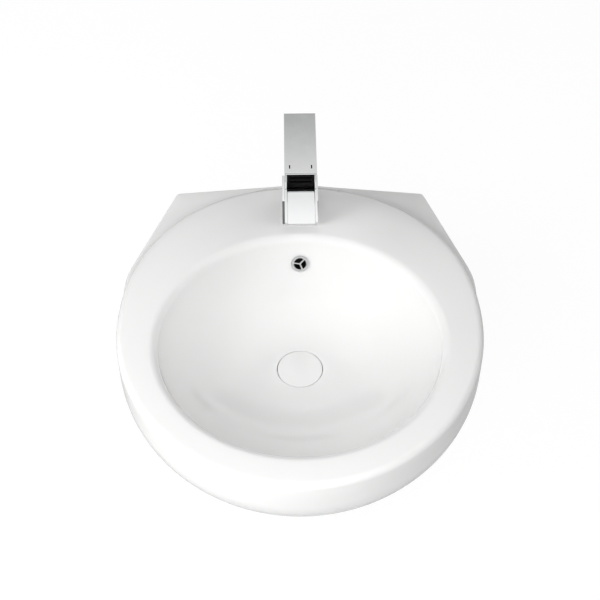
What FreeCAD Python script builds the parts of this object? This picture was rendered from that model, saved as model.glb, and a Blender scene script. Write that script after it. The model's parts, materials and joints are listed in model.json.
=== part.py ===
"""Semi-recessed ceramic basin with a waterfall mixer tap, an overflow and a press-to-open waste.

Frame: millimetres, +Z up, the user stands on the -Y side.
The origin is on the wall face, in the middle of the basin, at the height of the worktop.
"""
import FreeCAD
import Part
import Sketcher
import math
import os

from FreeCAD import Rotation, Vector

doc = FreeCAD.newDocument("semi_recessed_basin")

# Driving sizes in millimetres, or degrees where a name ends in _angle.
SIZES = {
    # Ring, apron and rear shelf of the ceramic.
    "ring_half_width": 250.0,
    "ring_front_width": 49.5,
    "ring_back_fullness": 2.15,
    "ring_wall_gap": 4.0,
    "rim_height": 55.0,
    "rim_thick": 15.0,
    "rim_edge_radius": 9.0,
    "apron_straight": 46.0,
    "apron_tuck": 100.0,
    "apron_curve_drop": 96.0,
    "apron_end_angle": 80.0,
    "apron_lean": 0.12,
    "apron_wall": 10.0,
    "shelf_back_half_width": 183.0,
    "shelf_side_back": 199.0,
    "shelf_side_inset": 1.0,
    "shelf_top_drop": 1.0,
    "shelf_fall": 0.104,
    "shelf_corner_radius": 6.0,
    "worktop_reach": 266.0,
    "worktop_ledge": 22.0,
    "service_way_width": 150.0,
    "service_lintel": 14.0,
    # Bowl.
    "bowl_half_width": 193.0,
    "bowl_half_depth": 184.5,
    "bowl_to_tap": 49.5,
    "bowl_depth": 117.0,
    "bowl_flare": 1.12,
    "bowl_wall": 11.0,
    "lip_radius": 12.0,
    "drain_back": 39.0,
    "drain_flat": 1.2,
    "waste_hole_radius": 23.0,
    "waste_boss_radius": 45.0,
    "waste_boss_drop": 31.0,
    # Overflow.
    "overflow_drop": 41.0,
    "overflow_hole_radius": 11.0,
    "overflow_ring_radius": 13.6,
    "overflow_ring_thick": 1.6,
    "overflow_sleeve_wall": 1.2,
    "overflow_sleeve_length": 13.0,
    "grille_thick": 2.0,
    "grille_rim": 0.7,
    "grille_hub_radius": 1.6,
    "grille_spoke_width": 1.7,
    "grille_sink": 0.8,
    "grille_turn_angle": 51.0,
    "duct_half_width": 16.0,
    "duct_wall": 7.0,
    "duct_inner_offset": 17.0,
    "duct_depth": 7.0,
    # Waste.
    "cover_radius": 32.0,
    "cover_gap": 0.9,
    "cover_crown": 1.6,
    "cover_edge_drop": 0.3,
    "cover_thick": 5.0,
    "carrier_radius": 26.0,
    "carrier_thick": 2.0,
    "carrier_hub_radius": 17.0,
    "carrier_hub_depth": 3.5,
    "plug_seal_radius": 27.0,
    "plug_seal_thick": 2.0,
    "plug_travel": 8.0,
    "plug_stem_radius": 4.0,
    "stem_collar_radius": 6.6,
    "stem_collar_thick": 2.2,
    "waste_flange_radius": 31.6,
    "waste_flange_thick": 2.5,
    "waste_tube_radius": 21.0,
    "waste_tube_wall": 2.8,
    "waste_tube_length": 85.0,
    "waste_slot_width": 18.0,
    "waste_slot_height": 10.0,
    "upper_gasket_thick": 1.5,
    "lower_gasket_thick": 4.0,
    "waste_washer_thick": 2.0,
    "waste_nut_thick": 10.0,
    "waste_nut_flats": 54.0,
    "spider_drop": 21.0,
    "spider_thick": 5.0,
    "spider_arm_width": 3.0,
    "spider_hub_wall": 2.2,
    "click_radius": 8.5,
    "click_wall": 1.7,
    "click_flange_radius": 10.0,
    "click_flange_thick": 2.2,
    "click_cap_thick": 4.0,
    "click_length": 28.0,
    "click_floor": 2.5,
    "spring_wire_radius": 0.6,
    "spring_turns": 5.0,
    "tail_radius": 16.0,
    "tail_wall": 1.5,
    "tail_length": 52.0,
    "tail_collar_length": 12.0,
    # Tap, outside.
    "tap_wall_distance": 60.0,
    "tap_hole_radius": 17.5,
    "tap_gasket_thick": 1.0,
    "tap_base_width": 50.0,
    "tap_base_thick": 3.0,
    "tap_base_bore": 16.5,
    "shroud_width": 51.0,
    "shroud_height": 48.0,
    "tap_width": 44.0,
    "tap_lever_top": 150.0,
    "lever_thick": 4.0,
    "lever_front_reach": 68.0,
    "lever_back_reach": 51.0,
    "lever_gap": 0.3,
    "lever_slot_spacing": 29.6,
    "lever_slot_width": 1.7,
    "lever_slot_length": 6.8,
    "lever_slot_inset": 8.0,
    "spout_reach": 143.0,
    "spout_root_height": 103.0,
    "spout_lip_thick": 2.8,
    "mouth_height": 15.7,
    "mouth_wall": 3.5,
    "tray_wall_height": 2.6,
    "trough_back": 25.7,
    "former_front_inset": 10.0,
    "former_wall": 3.2,
    "former_slot_height": 2.6,
    "former_floor": 2.4,
    "waterway_radius": 3.5,
    "waterway_height": 113.0,
    "waterway_back": 35.0,
    # Tap, under the ledge.
    "inlet_spacing": 18.0,
    "inlet_back": 4.0,
    "inlet_radius": 5.0,
    "inlet_depth": 14.0,
    "feed_radius": 2.6,
    "stud_radius": 4.0,
    "stud_forward": 11.0,
    "stud_grip": 15.0,
    "stud_tail": 12.0,
    "horseshoe_radius": 25.0,
    "horseshoe_slot_width": 29.0,
    "horseshoe_bridge": 5.0,
    "horseshoe_rubber_thick": 3.0,
    "horseshoe_plate_thick": 2.5,
    "fixing_nut_flats": 13.0,
    "fixing_nut_thick": 6.5,
    # Mixing valve.
    "valve_floor_height": 95.0,
    "valve_seal_thick": 1.0,
    "valve_seal_radius": 4.2,
    "valve_port_radius": 2.4,
    "valve_port_spacing": 13.0,
    "valve_radius": 13.9,
    "valve_fit": 0.1,
    "valve_height": 36.0,
    "valve_floor_thick": 7.0,
    "valve_chamber_radius": 10.7,
    "valve_chamber_height": 13.7,
    "turret_radius": 11.3,
    "turret_height": 14.5,
    "turret_neck_radius": 9.8,
    "turret_neck_height": 3.0,
    "turret_slot_length": 13.2,
    "fixed_disc_radius": 10.5,
    "fixed_disc_thick": 5.2,
    "moving_disc_radius": 6.8,
    "moving_disc_thick": 4.5,
    "disc_socket_radius": 3.1,
    "disc_socket_depth": 3.4,
    "stem_width": 6.0,
    "stem_finger_radius": 2.2,
    "stem_finger_length": 6.2,
    "pivot_height": 125.0,
    "pivot_pin_radius": 1.2,
    "pivot_pin_length": 19.0,
    "valve_nut_radius": 16.4,
    "valve_nut_bore": 10.1,
    "valve_nut_thick": 3.5,
    "valve_well_radius": 16.5,
    "column_top_gap": 8.0,
    "dome_radius": 18.0,
    "dome_top_radius": 14.5,
    "dome_bore": 12.6,
    "dome_height": 3.4,
    "hub_radius": 7.5,
    "hub_height": 7.0,
    "hub_screw_radius": 1.5,
    # Clearances that repeat.
    "rest_gap": 0.3,
    "slide_gap": 0.05,
    "seat_gap": 0.1,
}

sheet = doc.addObject("Spreadsheet::Sheet", "Sizes")
for row, (size_name, size_number) in enumerate(SIZES.items(), start=1):
    sheet.set("A%d" % row, size_name)
    sheet.set("B%d" % row, str(size_number))
    sheet.setAlias("B%d" % row, size_name)
doc.recompute()


class Length:
    """A size that keeps its number together with the sheet expression it comes from."""

    def __init__(self, number, text):
        self.number = number
        self.text = text

    def __add__(self, other):
        other = as_length(other)
        return Length(self.number + other.number, "(%s + %s)" % (self.text, other.text))

    def __sub__(self, other):
        other = as_length(other)
        return Length(self.number - other.number, "(%s - %s)" % (self.text, other.text))

    def __rsub__(self, other):
        return as_length(other) - self

    def __mul__(self, factor):
        factor = as_length(factor)
        return Length(self.number * factor.number, "(%s * %s)" % (self.text, factor.text))

    def __neg__(self):
        return Length(-self.number, "(0 - %s)" % self.text)

    __radd__ = __add__
    __rmul__ = __mul__


def as_length(value):
    """Give a plain number the same form as a sheet size."""
    if isinstance(value, Length):
        return value
    return Length(float(value), "%g" % value)


def size(name):
    """Read one driving size from the sheet."""
    return Length(float(sheet.get(name)), "Sizes.%s" % name)


def half(length):
    """Half of a size."""
    return length * 0.5


PIECES = []


def piece(node, shape_object):
    """Name an object after its node and put it on the list that is written out."""
    shape_object.Label = node
    PIECES.append(shape_object)
    return shape_object


def bind(target, **properties):
    """Tie properties of an object to sheet expressions."""
    for name, length in properties.items():
        target.setExpression(name, as_length(length).text)


def place(target, corner):
    """Tie the position of an object to sheet expressions."""
    for axis, length in zip("xyz", corner):
        target.setExpression("Placement.Base.%s" % axis, as_length(length).text)


def block(name, extent, corner):
    """A box with its lowest corner at corner."""
    box = doc.addObject("Part::Box", name)
    bind(box, Length=extent[0], Width=extent[1], Height=extent[2])
    place(box, corner)
    return box


def centred_block(name, extent, middle):
    """A box that is centred in X and Y on middle and stands on its height."""
    corner = (middle[0] - half(extent[0]), middle[1] - half(extent[1]), middle[2])
    return block(name, extent, corner)


AXIS_TURNS = {
    "x": Rotation(Vector(0, 1, 0), 90),
    "y": Rotation(Vector(1, 0, 0), -90),
    "z": Rotation(),
}


def rod(name, radius, length, start, axis="z"):
    """A cylinder that runs from start along a positive axis."""
    cylinder = doc.addObject("Part::Cylinder", name)
    bind(cylinder, Radius=radius, Height=length)
    cylinder.Placement = FreeCAD.Placement(Vector(), AXIS_TURNS[axis])
    place(cylinder, start)
    return cylinder


def join(name, shapes):
    """One solid from several that overlap or touch."""
    joined = doc.addObject("Part::MultiFuse", name)
    joined.Shapes = shapes
    joined.Refine = True
    return joined


def gather(name, shapes):
    """A group of separate solids, kept apart."""
    group = doc.addObject("Part::Compound", name)
    group.Links = shapes
    return group


def cut(name, base, tools):
    """The base with every tool taken out of it."""
    tool = tools[0] if len(tools) == 1 else join(name + "_tools", tools)
    result = doc.addObject("Part::Cut", name)
    result.Base = base
    result.Tool = tool
    result.Refine = True
    return result


def origin_plane(body, role):
    """Find one of the origin planes that belong to a body."""
    for feature in body.Origin.OriginFeatures:
        if feature.Role == role:
            return feature
    raise ValueError("no %s in %s" % (role, body.Name))


def flat_sketch(body, name, role):
    """A sketch on an origin plane of its own body."""
    sketch = body.newObject("Sketcher::SketchObject", name)
    sketch.AttachmentSupport = [(origin_plane(body, role), "")]
    sketch.MapMode = "FlatFace"
    return sketch


def dimension(sketch, kind, geometry, point, length):
    """Hold one coordinate of a sketch point at a sheet size, measured from the origin."""
    axis = -2 if kind == "DistanceX" else -1
    if length.text == "0":
        sketch.addConstraint(Sketcher.Constraint("PointOnObject", geometry, point, axis))
        return
    order = (-1, 1, geometry, point, length.number)
    index = sketch.addConstraint(Sketcher.Constraint(kind, *order))
    sketch.setExpression("Constraints[%d]" % index, length.text)


def closed_outline(sketch, corners):
    """Draw a closed polygon whose corners are sheet sizes."""
    corners = [(as_length(across), as_length(up)) for across, up in corners]
    points = [Vector(across.number, up.number, 0) for across, up in corners]
    lines = []
    for index, point in enumerate(points):
        following = points[(index + 1) % len(points)]
        lines.append(sketch.addGeometry(Part.LineSegment(point, following), False))
    for index, line in enumerate(lines):
        following = lines[(index + 1) % len(lines)]
        sketch.addConstraint(Sketcher.Constraint("Coincident", line, 2, following, 1))
    for line, (across, up) in zip(lines, corners):
        dimension(sketch, "DistanceX", line, 1, across)
        dimension(sketch, "DistanceY", line, 1, up)


def turned(node, outline, middle):
    """A turned piece: outline is (radius, height) corners, spun about a vertical axis at middle."""
    body = doc.addObject("PartDesign::Body", node + "_body")
    sketch = flat_sketch(body, node + "_outline", "XZ_Plane")
    closed_outline(sketch, outline)
    spin = body.newObject("PartDesign::Revolution", node + "_spin")
    spin.Profile = sketch
    spin.ReferenceAxis = (sketch, ["V_Axis"])
    spin.Angle = 360.0
    place(body, middle)
    return body


def ring_outline(inner, outer, height):
    """The outline of a plain flat ring."""
    return [(inner, 0), (outer, 0), (outer, height), (inner, height)]


def plate(node, outline, thick, corner):
    """A flat piece: outline is (x, y) corners from corner, padded upwards by thick."""
    body = doc.addObject("PartDesign::Body", node + "_body")
    sketch = flat_sketch(body, node + "_outline", "XY_Plane")
    closed_outline(sketch, outline)
    pad = body.newObject("PartDesign::Pad", node + "_pad")
    pad.Profile = sketch
    bind(pad, Length=thick)
    place(body, corner)
    return body


def rectangle(width, depth):
    """The outline of a rectangle with one corner at zero."""
    return [(0, 0), (width, 0), (width, depth), (0, depth)]


def hexagon_outline(flats):
    """A hexagon across the given flats, inside its own bounding box."""
    side = flats * (1.0 / math.sqrt(3.0))
    return [
        (0, half(flats)),
        (side * 0.5, 0),
        (side * 1.5, 0),
        (side * 2.0, half(flats)),
        (side * 1.5, flats),
        (side * 0.5, flats),
    ]


def hexagon_nut(node, flats, thick, bore, middle):
    """A hexagon nut with a plain bore, standing on middle."""
    side = flats * (1.0 / math.sqrt(3.0))
    corner = (middle[0] - side, middle[1] - half(flats), middle[2])
    blank = plate(node + "_blank", hexagon_outline(flats), thick, corner)
    hole = rod(node + "_bore", bore, thick + 2.0, (middle[0], middle[1], middle[2] - 1.0))
    return cut(node, blank, [hole])


def edges_where(shape, keep):
    """The edges whose two ends and middle all pass a test."""
    chosen = []
    for edge in shape.Edges:
        middle = edge.valueAt(0.5 * (edge.FirstParameter + edge.LastParameter))
        points = [vertex.Point for vertex in edge.Vertexes] + [middle]
        if all(keep(point) for point in points):
            chosen.append(edge)
    return chosen


# Places that several pieces share.
tap_y = -size("tap_wall_distance")
bowl_y = tap_y - size("bowl_to_tap") - size("bowl_half_depth")
ring_front_y = bowl_y - size("bowl_half_depth") - size("ring_front_width")
ring_half_depth = half(-size("ring_wall_gap") - ring_front_y)
ring_y = ring_front_y + ring_half_depth
rim_z = size("rim_height")
ledge_under_z = rim_z - size("rim_thick")
bowl_floor_z = rim_z - size("bowl_depth")
drain_y = bowl_y + size("drain_back")
recess_radius = size("cover_radius") + size("cover_gap")
drain_radius = recess_radius + size("drain_flat")
cover_edge_z = bowl_floor_z - size("cover_edge_drop")
cover_under_z = cover_edge_z - size("cover_thick")
carrier_under_z = cover_under_z - size("carrier_thick")
flange_top_z = carrier_under_z - size("plug_seal_thick") - size("seat_gap")
flange_under_z = flange_top_z - size("waste_flange_thick")
recess_floor_z = flange_under_z - size("upper_gasket_thick")
boss_under_z = bowl_floor_z - size("waste_boss_drop")

# ---------------------------------------------------------------- ceramic basin

OVAL_POINTS = 32
TOOL_MARGIN = 40.0


def oval(half_width, half_depth, centre_y, height, back_fullness=2.0):
    """A closed smooth oval at one height; its back half may be fuller than an ellipse."""
    points = []
    for index in range(OVAL_POINTS):
        angle = 2.0 * math.pi * index / OVAL_POINTS
        power = 2.0 / (back_fullness if math.sin(angle) > 0.0 else 2.0)
        across = math.copysign(abs(math.cos(angle)) ** power, math.cos(angle))
        along = math.copysign(abs(math.sin(angle)) ** power, math.sin(angle))
        points.append(Vector(half_width * across, centre_y + half_depth * along, height))
    curve = Part.BSplineCurve()
    curve.interpolate(Points=points, PeriodicFlag=True)
    return Part.Wire([curve.toShape()])


def skin(inset, top_z, end_angle):
    """The space inside the apron, from top_z down, drawn in by inset from the outside."""
    wide = size("ring_half_width").number
    deep = ring_half_depth.number
    fullness = size("ring_back_fullness").number
    tuck = size("apron_tuck").number
    straight_z = rim_z.number - size("apron_straight").number
    drop = size("apron_curve_drop").number
    lean = size("apron_lean").number
    sections = []
    for share in (0.0, 0.5):
        height = top_z + (straight_z - top_z) * share
        sections.append(oval(wide - inset, deep - inset, ring_y.number, height, fullness))
    steps = 7
    for step in range(steps + 1):
        angle = math.radians(end_angle) * step / steps
        pulled = tuck - (tuck - inset) * math.cos(angle)
        height = straight_z - (drop - inset) * math.sin(angle)
        centre = ring_y.number + lean * (pulled - inset)
        sections.append(oval(wide - pulled, deep - pulled, centre, height, fullness))
    return Part.makeLoft(sections, True, False)


def bowl(growth):
    """The space of the bowl, or of the bowl grown by a wall, open upwards."""
    wide = size("bowl_half_width").number + growth
    deep = size("bowl_half_depth").number + growth
    depth = size("bowl_depth").number + growth
    flat = drain_radius.number + growth
    shift = size("drain_back").number
    flare = size("bowl_flare").number
    top = rim_z.number
    sections = [oval(wide, deep, bowl_y.number, top + size("lip_radius").number)]
    steps = 9
    for step in range(steps + 1):
        angle = 0.5 * math.pi * step / steps
        spread = max(math.cos(angle), 0.0) ** flare
        centre = bowl_y.number + shift * (1.0 - spread)
        height = top - depth * math.sin(angle)
        wide_here = flat + (wide - flat) * spread
        deep_here = flat + (deep - flat) * spread
        sections.append(oval(wide_here, deep_here, centre, height))
    return Part.makeLoft(sections, True, False)


def box_between(low, high):
    """A plain box between two corners."""
    span = Vector(*high) - Vector(*low)
    return Part.makeBox(span.x, span.y, span.z, Vector(*low))


def shelf():
    """The lower rear shelf with its two wings, flat against the wall."""
    back = size("shelf_back_half_width").number
    side = size("ring_half_width").number - size("shelf_side_inset").number
    turn_y = -size("shelf_side_back").number
    front_y = -size("worktop_reach").number
    corners = [(-back, 0), (back, 0), (side, turn_y * 0.8), (side, front_y)]
    corners += [(-side, front_y), (-side, turn_y * 0.8)]
    outline = Part.makePolygon([Vector(x, y, 0) for x, y in corners + corners[:1]])
    prism = Part.Face(outline).extrude(Vector(0, 0, rim_z.number))
    rounded = edges_where(prism, lambda p: abs(abs(p.x) - side) < 0.01 and p.y > front_y + 1.0)
    prism = prism.makeFillet(abs(turn_y) * 0.6, rounded)
    at_corner = edges_where(prism, lambda p: abs(abs(p.x) - back) < 0.01 and p.y > -0.01)
    prism = prism.makeFillet(size("shelf_corner_radius").number, at_corner)
    top = rim_z.number - size("shelf_top_drop").number
    reach = side + TOOL_MARGIN
    edge = top - size("shelf_fall").number * reach
    roof = [(-reach, 0), (reach, 0), (reach, edge), (0, top), (-reach, edge), (-reach, 0)]
    gable = Part.Face(Part.makePolygon([Vector(x, TOOL_MARGIN, z) for x, z in roof]))
    return prism.common(gable.extrude(Vector(0, front_y - 2.0 * TOOL_MARGIN, 0)))


def worktop_notch(growth):
    """The space that the worktop takes: all round the recessed tub, below the shelf."""
    reach = size("ring_half_width").number + TOOL_MARGIN
    front_y = -size("worktop_reach").number - growth
    low_z = rim_z.number - size("apron_straight").number - size("apron_curve_drop").number
    low_z -= TOOL_MARGIN
    around = box_between((-reach, front_y, low_z), (reach, TOOL_MARGIN, growth))
    ledge = size("worktop_ledge").number + growth
    wide = size("ring_half_width").number - ledge
    deep = ring_half_depth.number - ledge
    plan = oval(wide, deep, ring_y.number, low_z - 1.0, size("ring_back_fullness").number)
    tub = Part.Face(plan).extrude(Vector(0, 0, growth - low_z + 2.0))
    return around.cut(tub)


def underside_hollow():
    """The open space between the apron and the bowl, reached from below and from behind."""
    wall = size("apron_wall").number
    end_angle = size("apron_end_angle").number
    lining = skin(wall, ledge_under_z.number, end_angle)
    inset = size("apron_tuck").number - size("apron_lean").number * wall
    centre = ring_y.number + size("apron_lean").number * inset
    wide = size("ring_half_width").number - inset
    deep = ring_half_depth.number - inset
    low_z = rim_z.number - size("apron_straight").number - size("apron_curve_drop").number
    mouth = Part.Face(oval(wide, deep, centre, low_z - TOOL_MARGIN))
    mouth = mouth.extrude(Vector(0, 0, TOOL_MARGIN + 2.0 * wall))
    bowl_outside = bowl(size("bowl_wall").number)
    hollow = lining.fuse(mouth).cut(bowl_outside).cut(worktop_notch(wall))
    reach = half(size("service_way_width")).number
    top_z = -size("service_lintel").number
    service_way = box_between((-reach, ring_y.number, low_z - TOOL_MARGIN),
                              (reach, TOOL_MARGIN, top_z))
    return hollow.fuse(service_way.cut(bowl_outside))


def overflow_duct(half_width, inner, outer, top_z, bottom_z, front_y):
    """A strip of the wall behind the bowl, between two depths under its surface."""
    strip = box_between((-half_width, front_y, bottom_z), (half_width, 0, top_z))
    return strip.common(bowl(outer)).cut(bowl(inner))


overflow_z = rim_z - size("overflow_drop")


def wall_behind_bowl(height):
    """The Y of the back of the bowl at one height."""
    depth = size("bowl_depth").number
    share = (rim_z.number - height) / depth
    spread = math.sqrt(1.0 - share * share) ** size("bowl_flare").number
    flat = drain_radius.number
    deep = flat + (size("bowl_half_depth").number - flat) * spread
    return bowl_y.number + size("drain_back").number * (1.0 - spread) + deep


def overflow_seat():
    """Where the overflow ring sits on the back wall, and the way it faces."""
    reach = size("overflow_ring_radius").number
    height = overflow_z.number
    low = Vector(0, wall_behind_bowl(height - reach), height - reach)
    high = Vector(0, wall_behind_bowl(height + reach), height + reach)
    outwards = Vector(0, -(high.z - low.z), high.y - low.y).normalize()
    bend_radius = size("bowl_half_width").number ** 2 / size("bowl_half_depth").number
    sideways_rise = reach * reach / (2.0 * bend_radius)
    return (low + high) * 0.5 + outwards * (sideways_rise + size("seat_gap").number), outwards


def basin_shape():
    """The whole ceramic piece."""
    end_angle = size("apron_end_angle").number
    outside = skin(0.0, rim_z.number, end_angle)
    top_edge = edges_where(outside, lambda p: abs(p.z - rim_z.number) < 0.01)
    outside = outside.makeFillet(size("rim_edge_radius").number, top_edge)
    shape = outside.fuse(shelf()).cut(bowl(0.0))
    bowl_reach = size("bowl_half_depth").number + 1.0
    lip = edges_where(shape, lambda p: abs(p.z - rim_z.number) < 0.01
                      and abs(p.x) < size("bowl_half_width").number + 1.0
                      and abs(p.y - bowl_y.number) < bowl_reach)
    shape = shape.makeFillet(size("lip_radius").number, lip)
    shape = shape.cut(worktop_notch(0.0)).cut(underside_hollow())
    # The overflow duct runs down the outside of the bowl into the side of the waste hole.
    inner = size("duct_inner_offset").number
    outer = inner + size("duct_depth").number
    wall = size("duct_wall").number
    duct_wide = size("duct_half_width").number
    drain = drain_y.number
    boss_z = boss_under_z.number
    duct_top = overflow_z.number + size("overflow_hole_radius").number + 1.0
    rib = overflow_duct(duct_wide + wall, 0.5 * size("bowl_wall").number, outer + wall,
                        duct_top + wall, boss_z, drain)
    boss_height = size("waste_boss_drop").number - 3.0
    boss = Part.makeCylinder(size("waste_boss_radius").number, boss_height,
                             Vector(0, drain, boss_z))
    shape = shape.fuse(rib).fuse(boss)
    duct = overflow_duct(duct_wide, inner, outer, duct_top, boss_z + 0.5 * wall, drain)
    seat, outwards = overflow_seat()
    hole_length = TOOL_MARGIN + inner + 0.5 * size("duct_depth").number
    overflow = Part.makeCylinder(size("overflow_hole_radius").number, hole_length,
                                 seat + outwards * TOOL_MARGIN, -outwards)
    recess = Part.makeCylinder(recess_radius.number, TOOL_MARGIN,
                               Vector(0, drain, recess_floor_z.number))
    waste = Part.makeCylinder(size("waste_hole_radius").number, 2.0 * TOOL_MARGIN,
                              Vector(0, drain, boss_z - TOOL_MARGIN))
    tap_hole = Part.makeCylinder(size("tap_hole_radius").number, 2.0 * TOOL_MARGIN,
                                 Vector(0, tap_y.number, rim_z.number - TOOL_MARGIN))
    shape = shape.cut(duct).cut(overflow).cut(recess).cut(waste).cut(tap_hole)
    return shape


basin = piece("basin_body", doc.addObject("Part::Feature", "basin_body"))
basin.Shape = basin_shape()

# ---------------------------------------------------------------- overflow


def face_the_bowl(target, seat, outwards):
    """Stand an object that was made upright on the back wall, facing the bowl."""
    target.Placement = FreeCAD.Placement(Vector(), Rotation(Vector(0, 0, 1), outwards))
    place(target, (seat.x, seat.y, seat.z))


def overflow_pieces():
    """The chrome ring with its sleeve, and the three-spoke grille inside it."""
    seat, outwards = overflow_seat()
    sleeve_radius = size("overflow_hole_radius") - size("seat_gap")
    bore = sleeve_radius - size("overflow_sleeve_wall")
    length = size("overflow_sleeve_length")
    face = length + size("overflow_ring_thick")
    outline = [
        (bore, 0),
        (sleeve_radius, 0),
        (sleeve_radius, length),
        (size("overflow_ring_radius"), length),
        (size("overflow_ring_radius"), length + size("overflow_ring_thick") * 0.4),
        (size("overflow_ring_radius") - size("overflow_ring_thick") * 0.6, face),
        (bore, face),
    ]
    ring = turned("overflow_ring", outline, (0, 0, 0))
    face_the_bowl(ring, seat - outwards * length.number, outwards)
    piece("overflow_ring", ring)

    thick = size("grille_thick")
    rim = turned("grille_rim", ring_outline(bore - size("grille_rim"), bore, thick), (0, 0, 0))
    hub = rod("grille_hub", size("grille_hub_radius"), thick, (0, 0, 0))
    spokes = []
    for index in range(3):
        spoke = doc.addObject("Part::Box", "grille_spoke_%d" % (index + 1))
        spoke_length = bore - half(size("grille_rim"))
        bind(spoke, Length=spoke_length, Width=size("grille_spoke_width"), Height=thick)
        turn = Rotation(Vector(0, 0, 1), size("grille_turn_angle").number + 120.0 * index)
        sideways = turn.multVec(Vector(0, -0.5 * size("grille_spoke_width").number, 0))
        spoke.Placement = FreeCAD.Placement(sideways, turn)
        spokes.append(spoke)
    grille = join("overflow_grille", [rim, hub] + spokes)
    sink = size("overflow_ring_thick").number - size("grille_sink").number - thick.number
    face_the_bowl(grille, seat + outwards * sink, outwards)
    piece("overflow_grille", grille)


overflow_pieces()

# ---------------------------------------------------------------- waste


def at_drain(height):
    """A place on the upright axis of the drain."""
    return (as_length(0), drain_y, as_length(height))


def waste_plug():
    """The ceramic cover, its carrier, seal and stem: they rise together when it opens."""
    crown = size("cover_crown")
    radius = size("cover_radius")
    thick = size("cover_thick")
    cover_outline = [
        (0, 0),
        (radius - 1.0, 0),
        (radius, 1.0),
        (radius, thick - 0.8),
        (radius - 0.8, thick),
        (radius * 0.8, thick + crown * 0.36),
        (radius * 0.6, thick + crown * 0.64),
        (radius * 0.35, thick + crown * 0.88),
        (radius * 0.12, thick + crown * 0.985),
        (0, thick + crown),
    ]
    piece("waste_cover", turned("waste_cover", cover_outline, at_drain(cover_under_z)))

    hub_depth = size("carrier_hub_depth")
    carrier_outline = [
        (0, 0),
        (size("carrier_hub_radius"), 0),
        (size("carrier_hub_radius"), hub_depth),
        (size("carrier_radius"), hub_depth),
        (size("carrier_radius"), hub_depth + size("carrier_thick")),
        (0, hub_depth + size("carrier_thick")),
    ]
    carrier = turned("cover_carrier", carrier_outline, at_drain(carrier_under_z - hub_depth))
    piece("cover_carrier", carrier)

    seal_bore = size("carrier_hub_radius") + size("seat_gap")
    seal_thick = size("plug_seal_thick")
    seal_outline = ring_outline(seal_bore, size("plug_seal_radius"), seal_thick)
    seal = turned("plug_seal", seal_outline, at_drain(carrier_under_z - seal_thick))
    piece("plug_seal", seal)


spider_top_z = flange_top_z - size("spider_drop")
click_top_z = spider_top_z + size("click_flange_thick")
click_under_z = click_top_z - size("click_length")
click_room_top_z = click_top_z - size("click_cap_thick")
collar_top_z = click_room_top_z - size("plug_travel") - size("rest_gap")
collar_under_z = collar_top_z - size("stem_collar_thick")
click_room_floor_z = click_under_z + size("click_floor")
stem_top_z = carrier_under_z - size("carrier_hub_depth")
tube_bore = size("waste_tube_radius") - size("waste_tube_wall")
tube_under_z = flange_under_z - size("waste_tube_length")


def click_action():
    """The stem with its collar, the cartridge that guides it and the spring under it."""
    stem_outline = [
        (0, 0),
        (size("stem_collar_radius"), 0),
        (size("stem_collar_radius"), size("stem_collar_thick")),
        (size("plug_stem_radius"), size("stem_collar_thick")),
        (size("plug_stem_radius"), stem_top_z - collar_under_z),
        (0, stem_top_z - collar_under_z),
    ]
    piece("plug_stem", turned("plug_stem", stem_outline, at_drain(collar_under_z)))

    room_radius = size("click_radius") - size("click_wall")
    guide = size("plug_stem_radius") + size("slide_gap")
    barrel = spider_top_z - click_under_z
    click_outline = [
        (0, 0),
        (size("click_radius"), 0),
        (size("click_radius"), barrel),
        (size("click_flange_radius"), barrel),
        (size("click_flange_radius"), size("click_length")),
        (guide, size("click_length")),
        (guide, size("click_length") - size("click_cap_thick")),
        (room_radius, size("click_length") - size("click_cap_thick")),
        (room_radius, size("click_floor")),
        (0, size("click_floor")),
    ]
    piece("click_cartridge", turned("click_cartridge", click_outline, at_drain(click_under_z)))

    wire = size("spring_wire_radius").number
    room = collar_under_z.number - click_room_floor_z.number - 2.0 * wire
    coil_radius = 0.5 * (room_radius.number + size("plug_stem_radius").number)
    helix = Part.makeHelix(room / size("spring_turns").number, room, coil_radius)
    rise = room / size("spring_turns").number
    along = Vector(0, 2.0 * math.pi * coil_radius, rise)
    profile = Part.Wire([Part.makeCircle(wire, Vector(coil_radius, 0, 0), along)])
    coil = Part.Wire(helix).makePipeShell([profile], True, True)
    spring = doc.addObject("Part::Feature", "click_spring")
    spring.Shape = Part.Solid(coil) if coil.ShapeType == "Shell" else coil
    spring.Placement = FreeCAD.Placement(
        Vector(0, drain_y.number, click_room_floor_z.number + wire), Rotation())
    piece("click_spring", spring)


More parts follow.
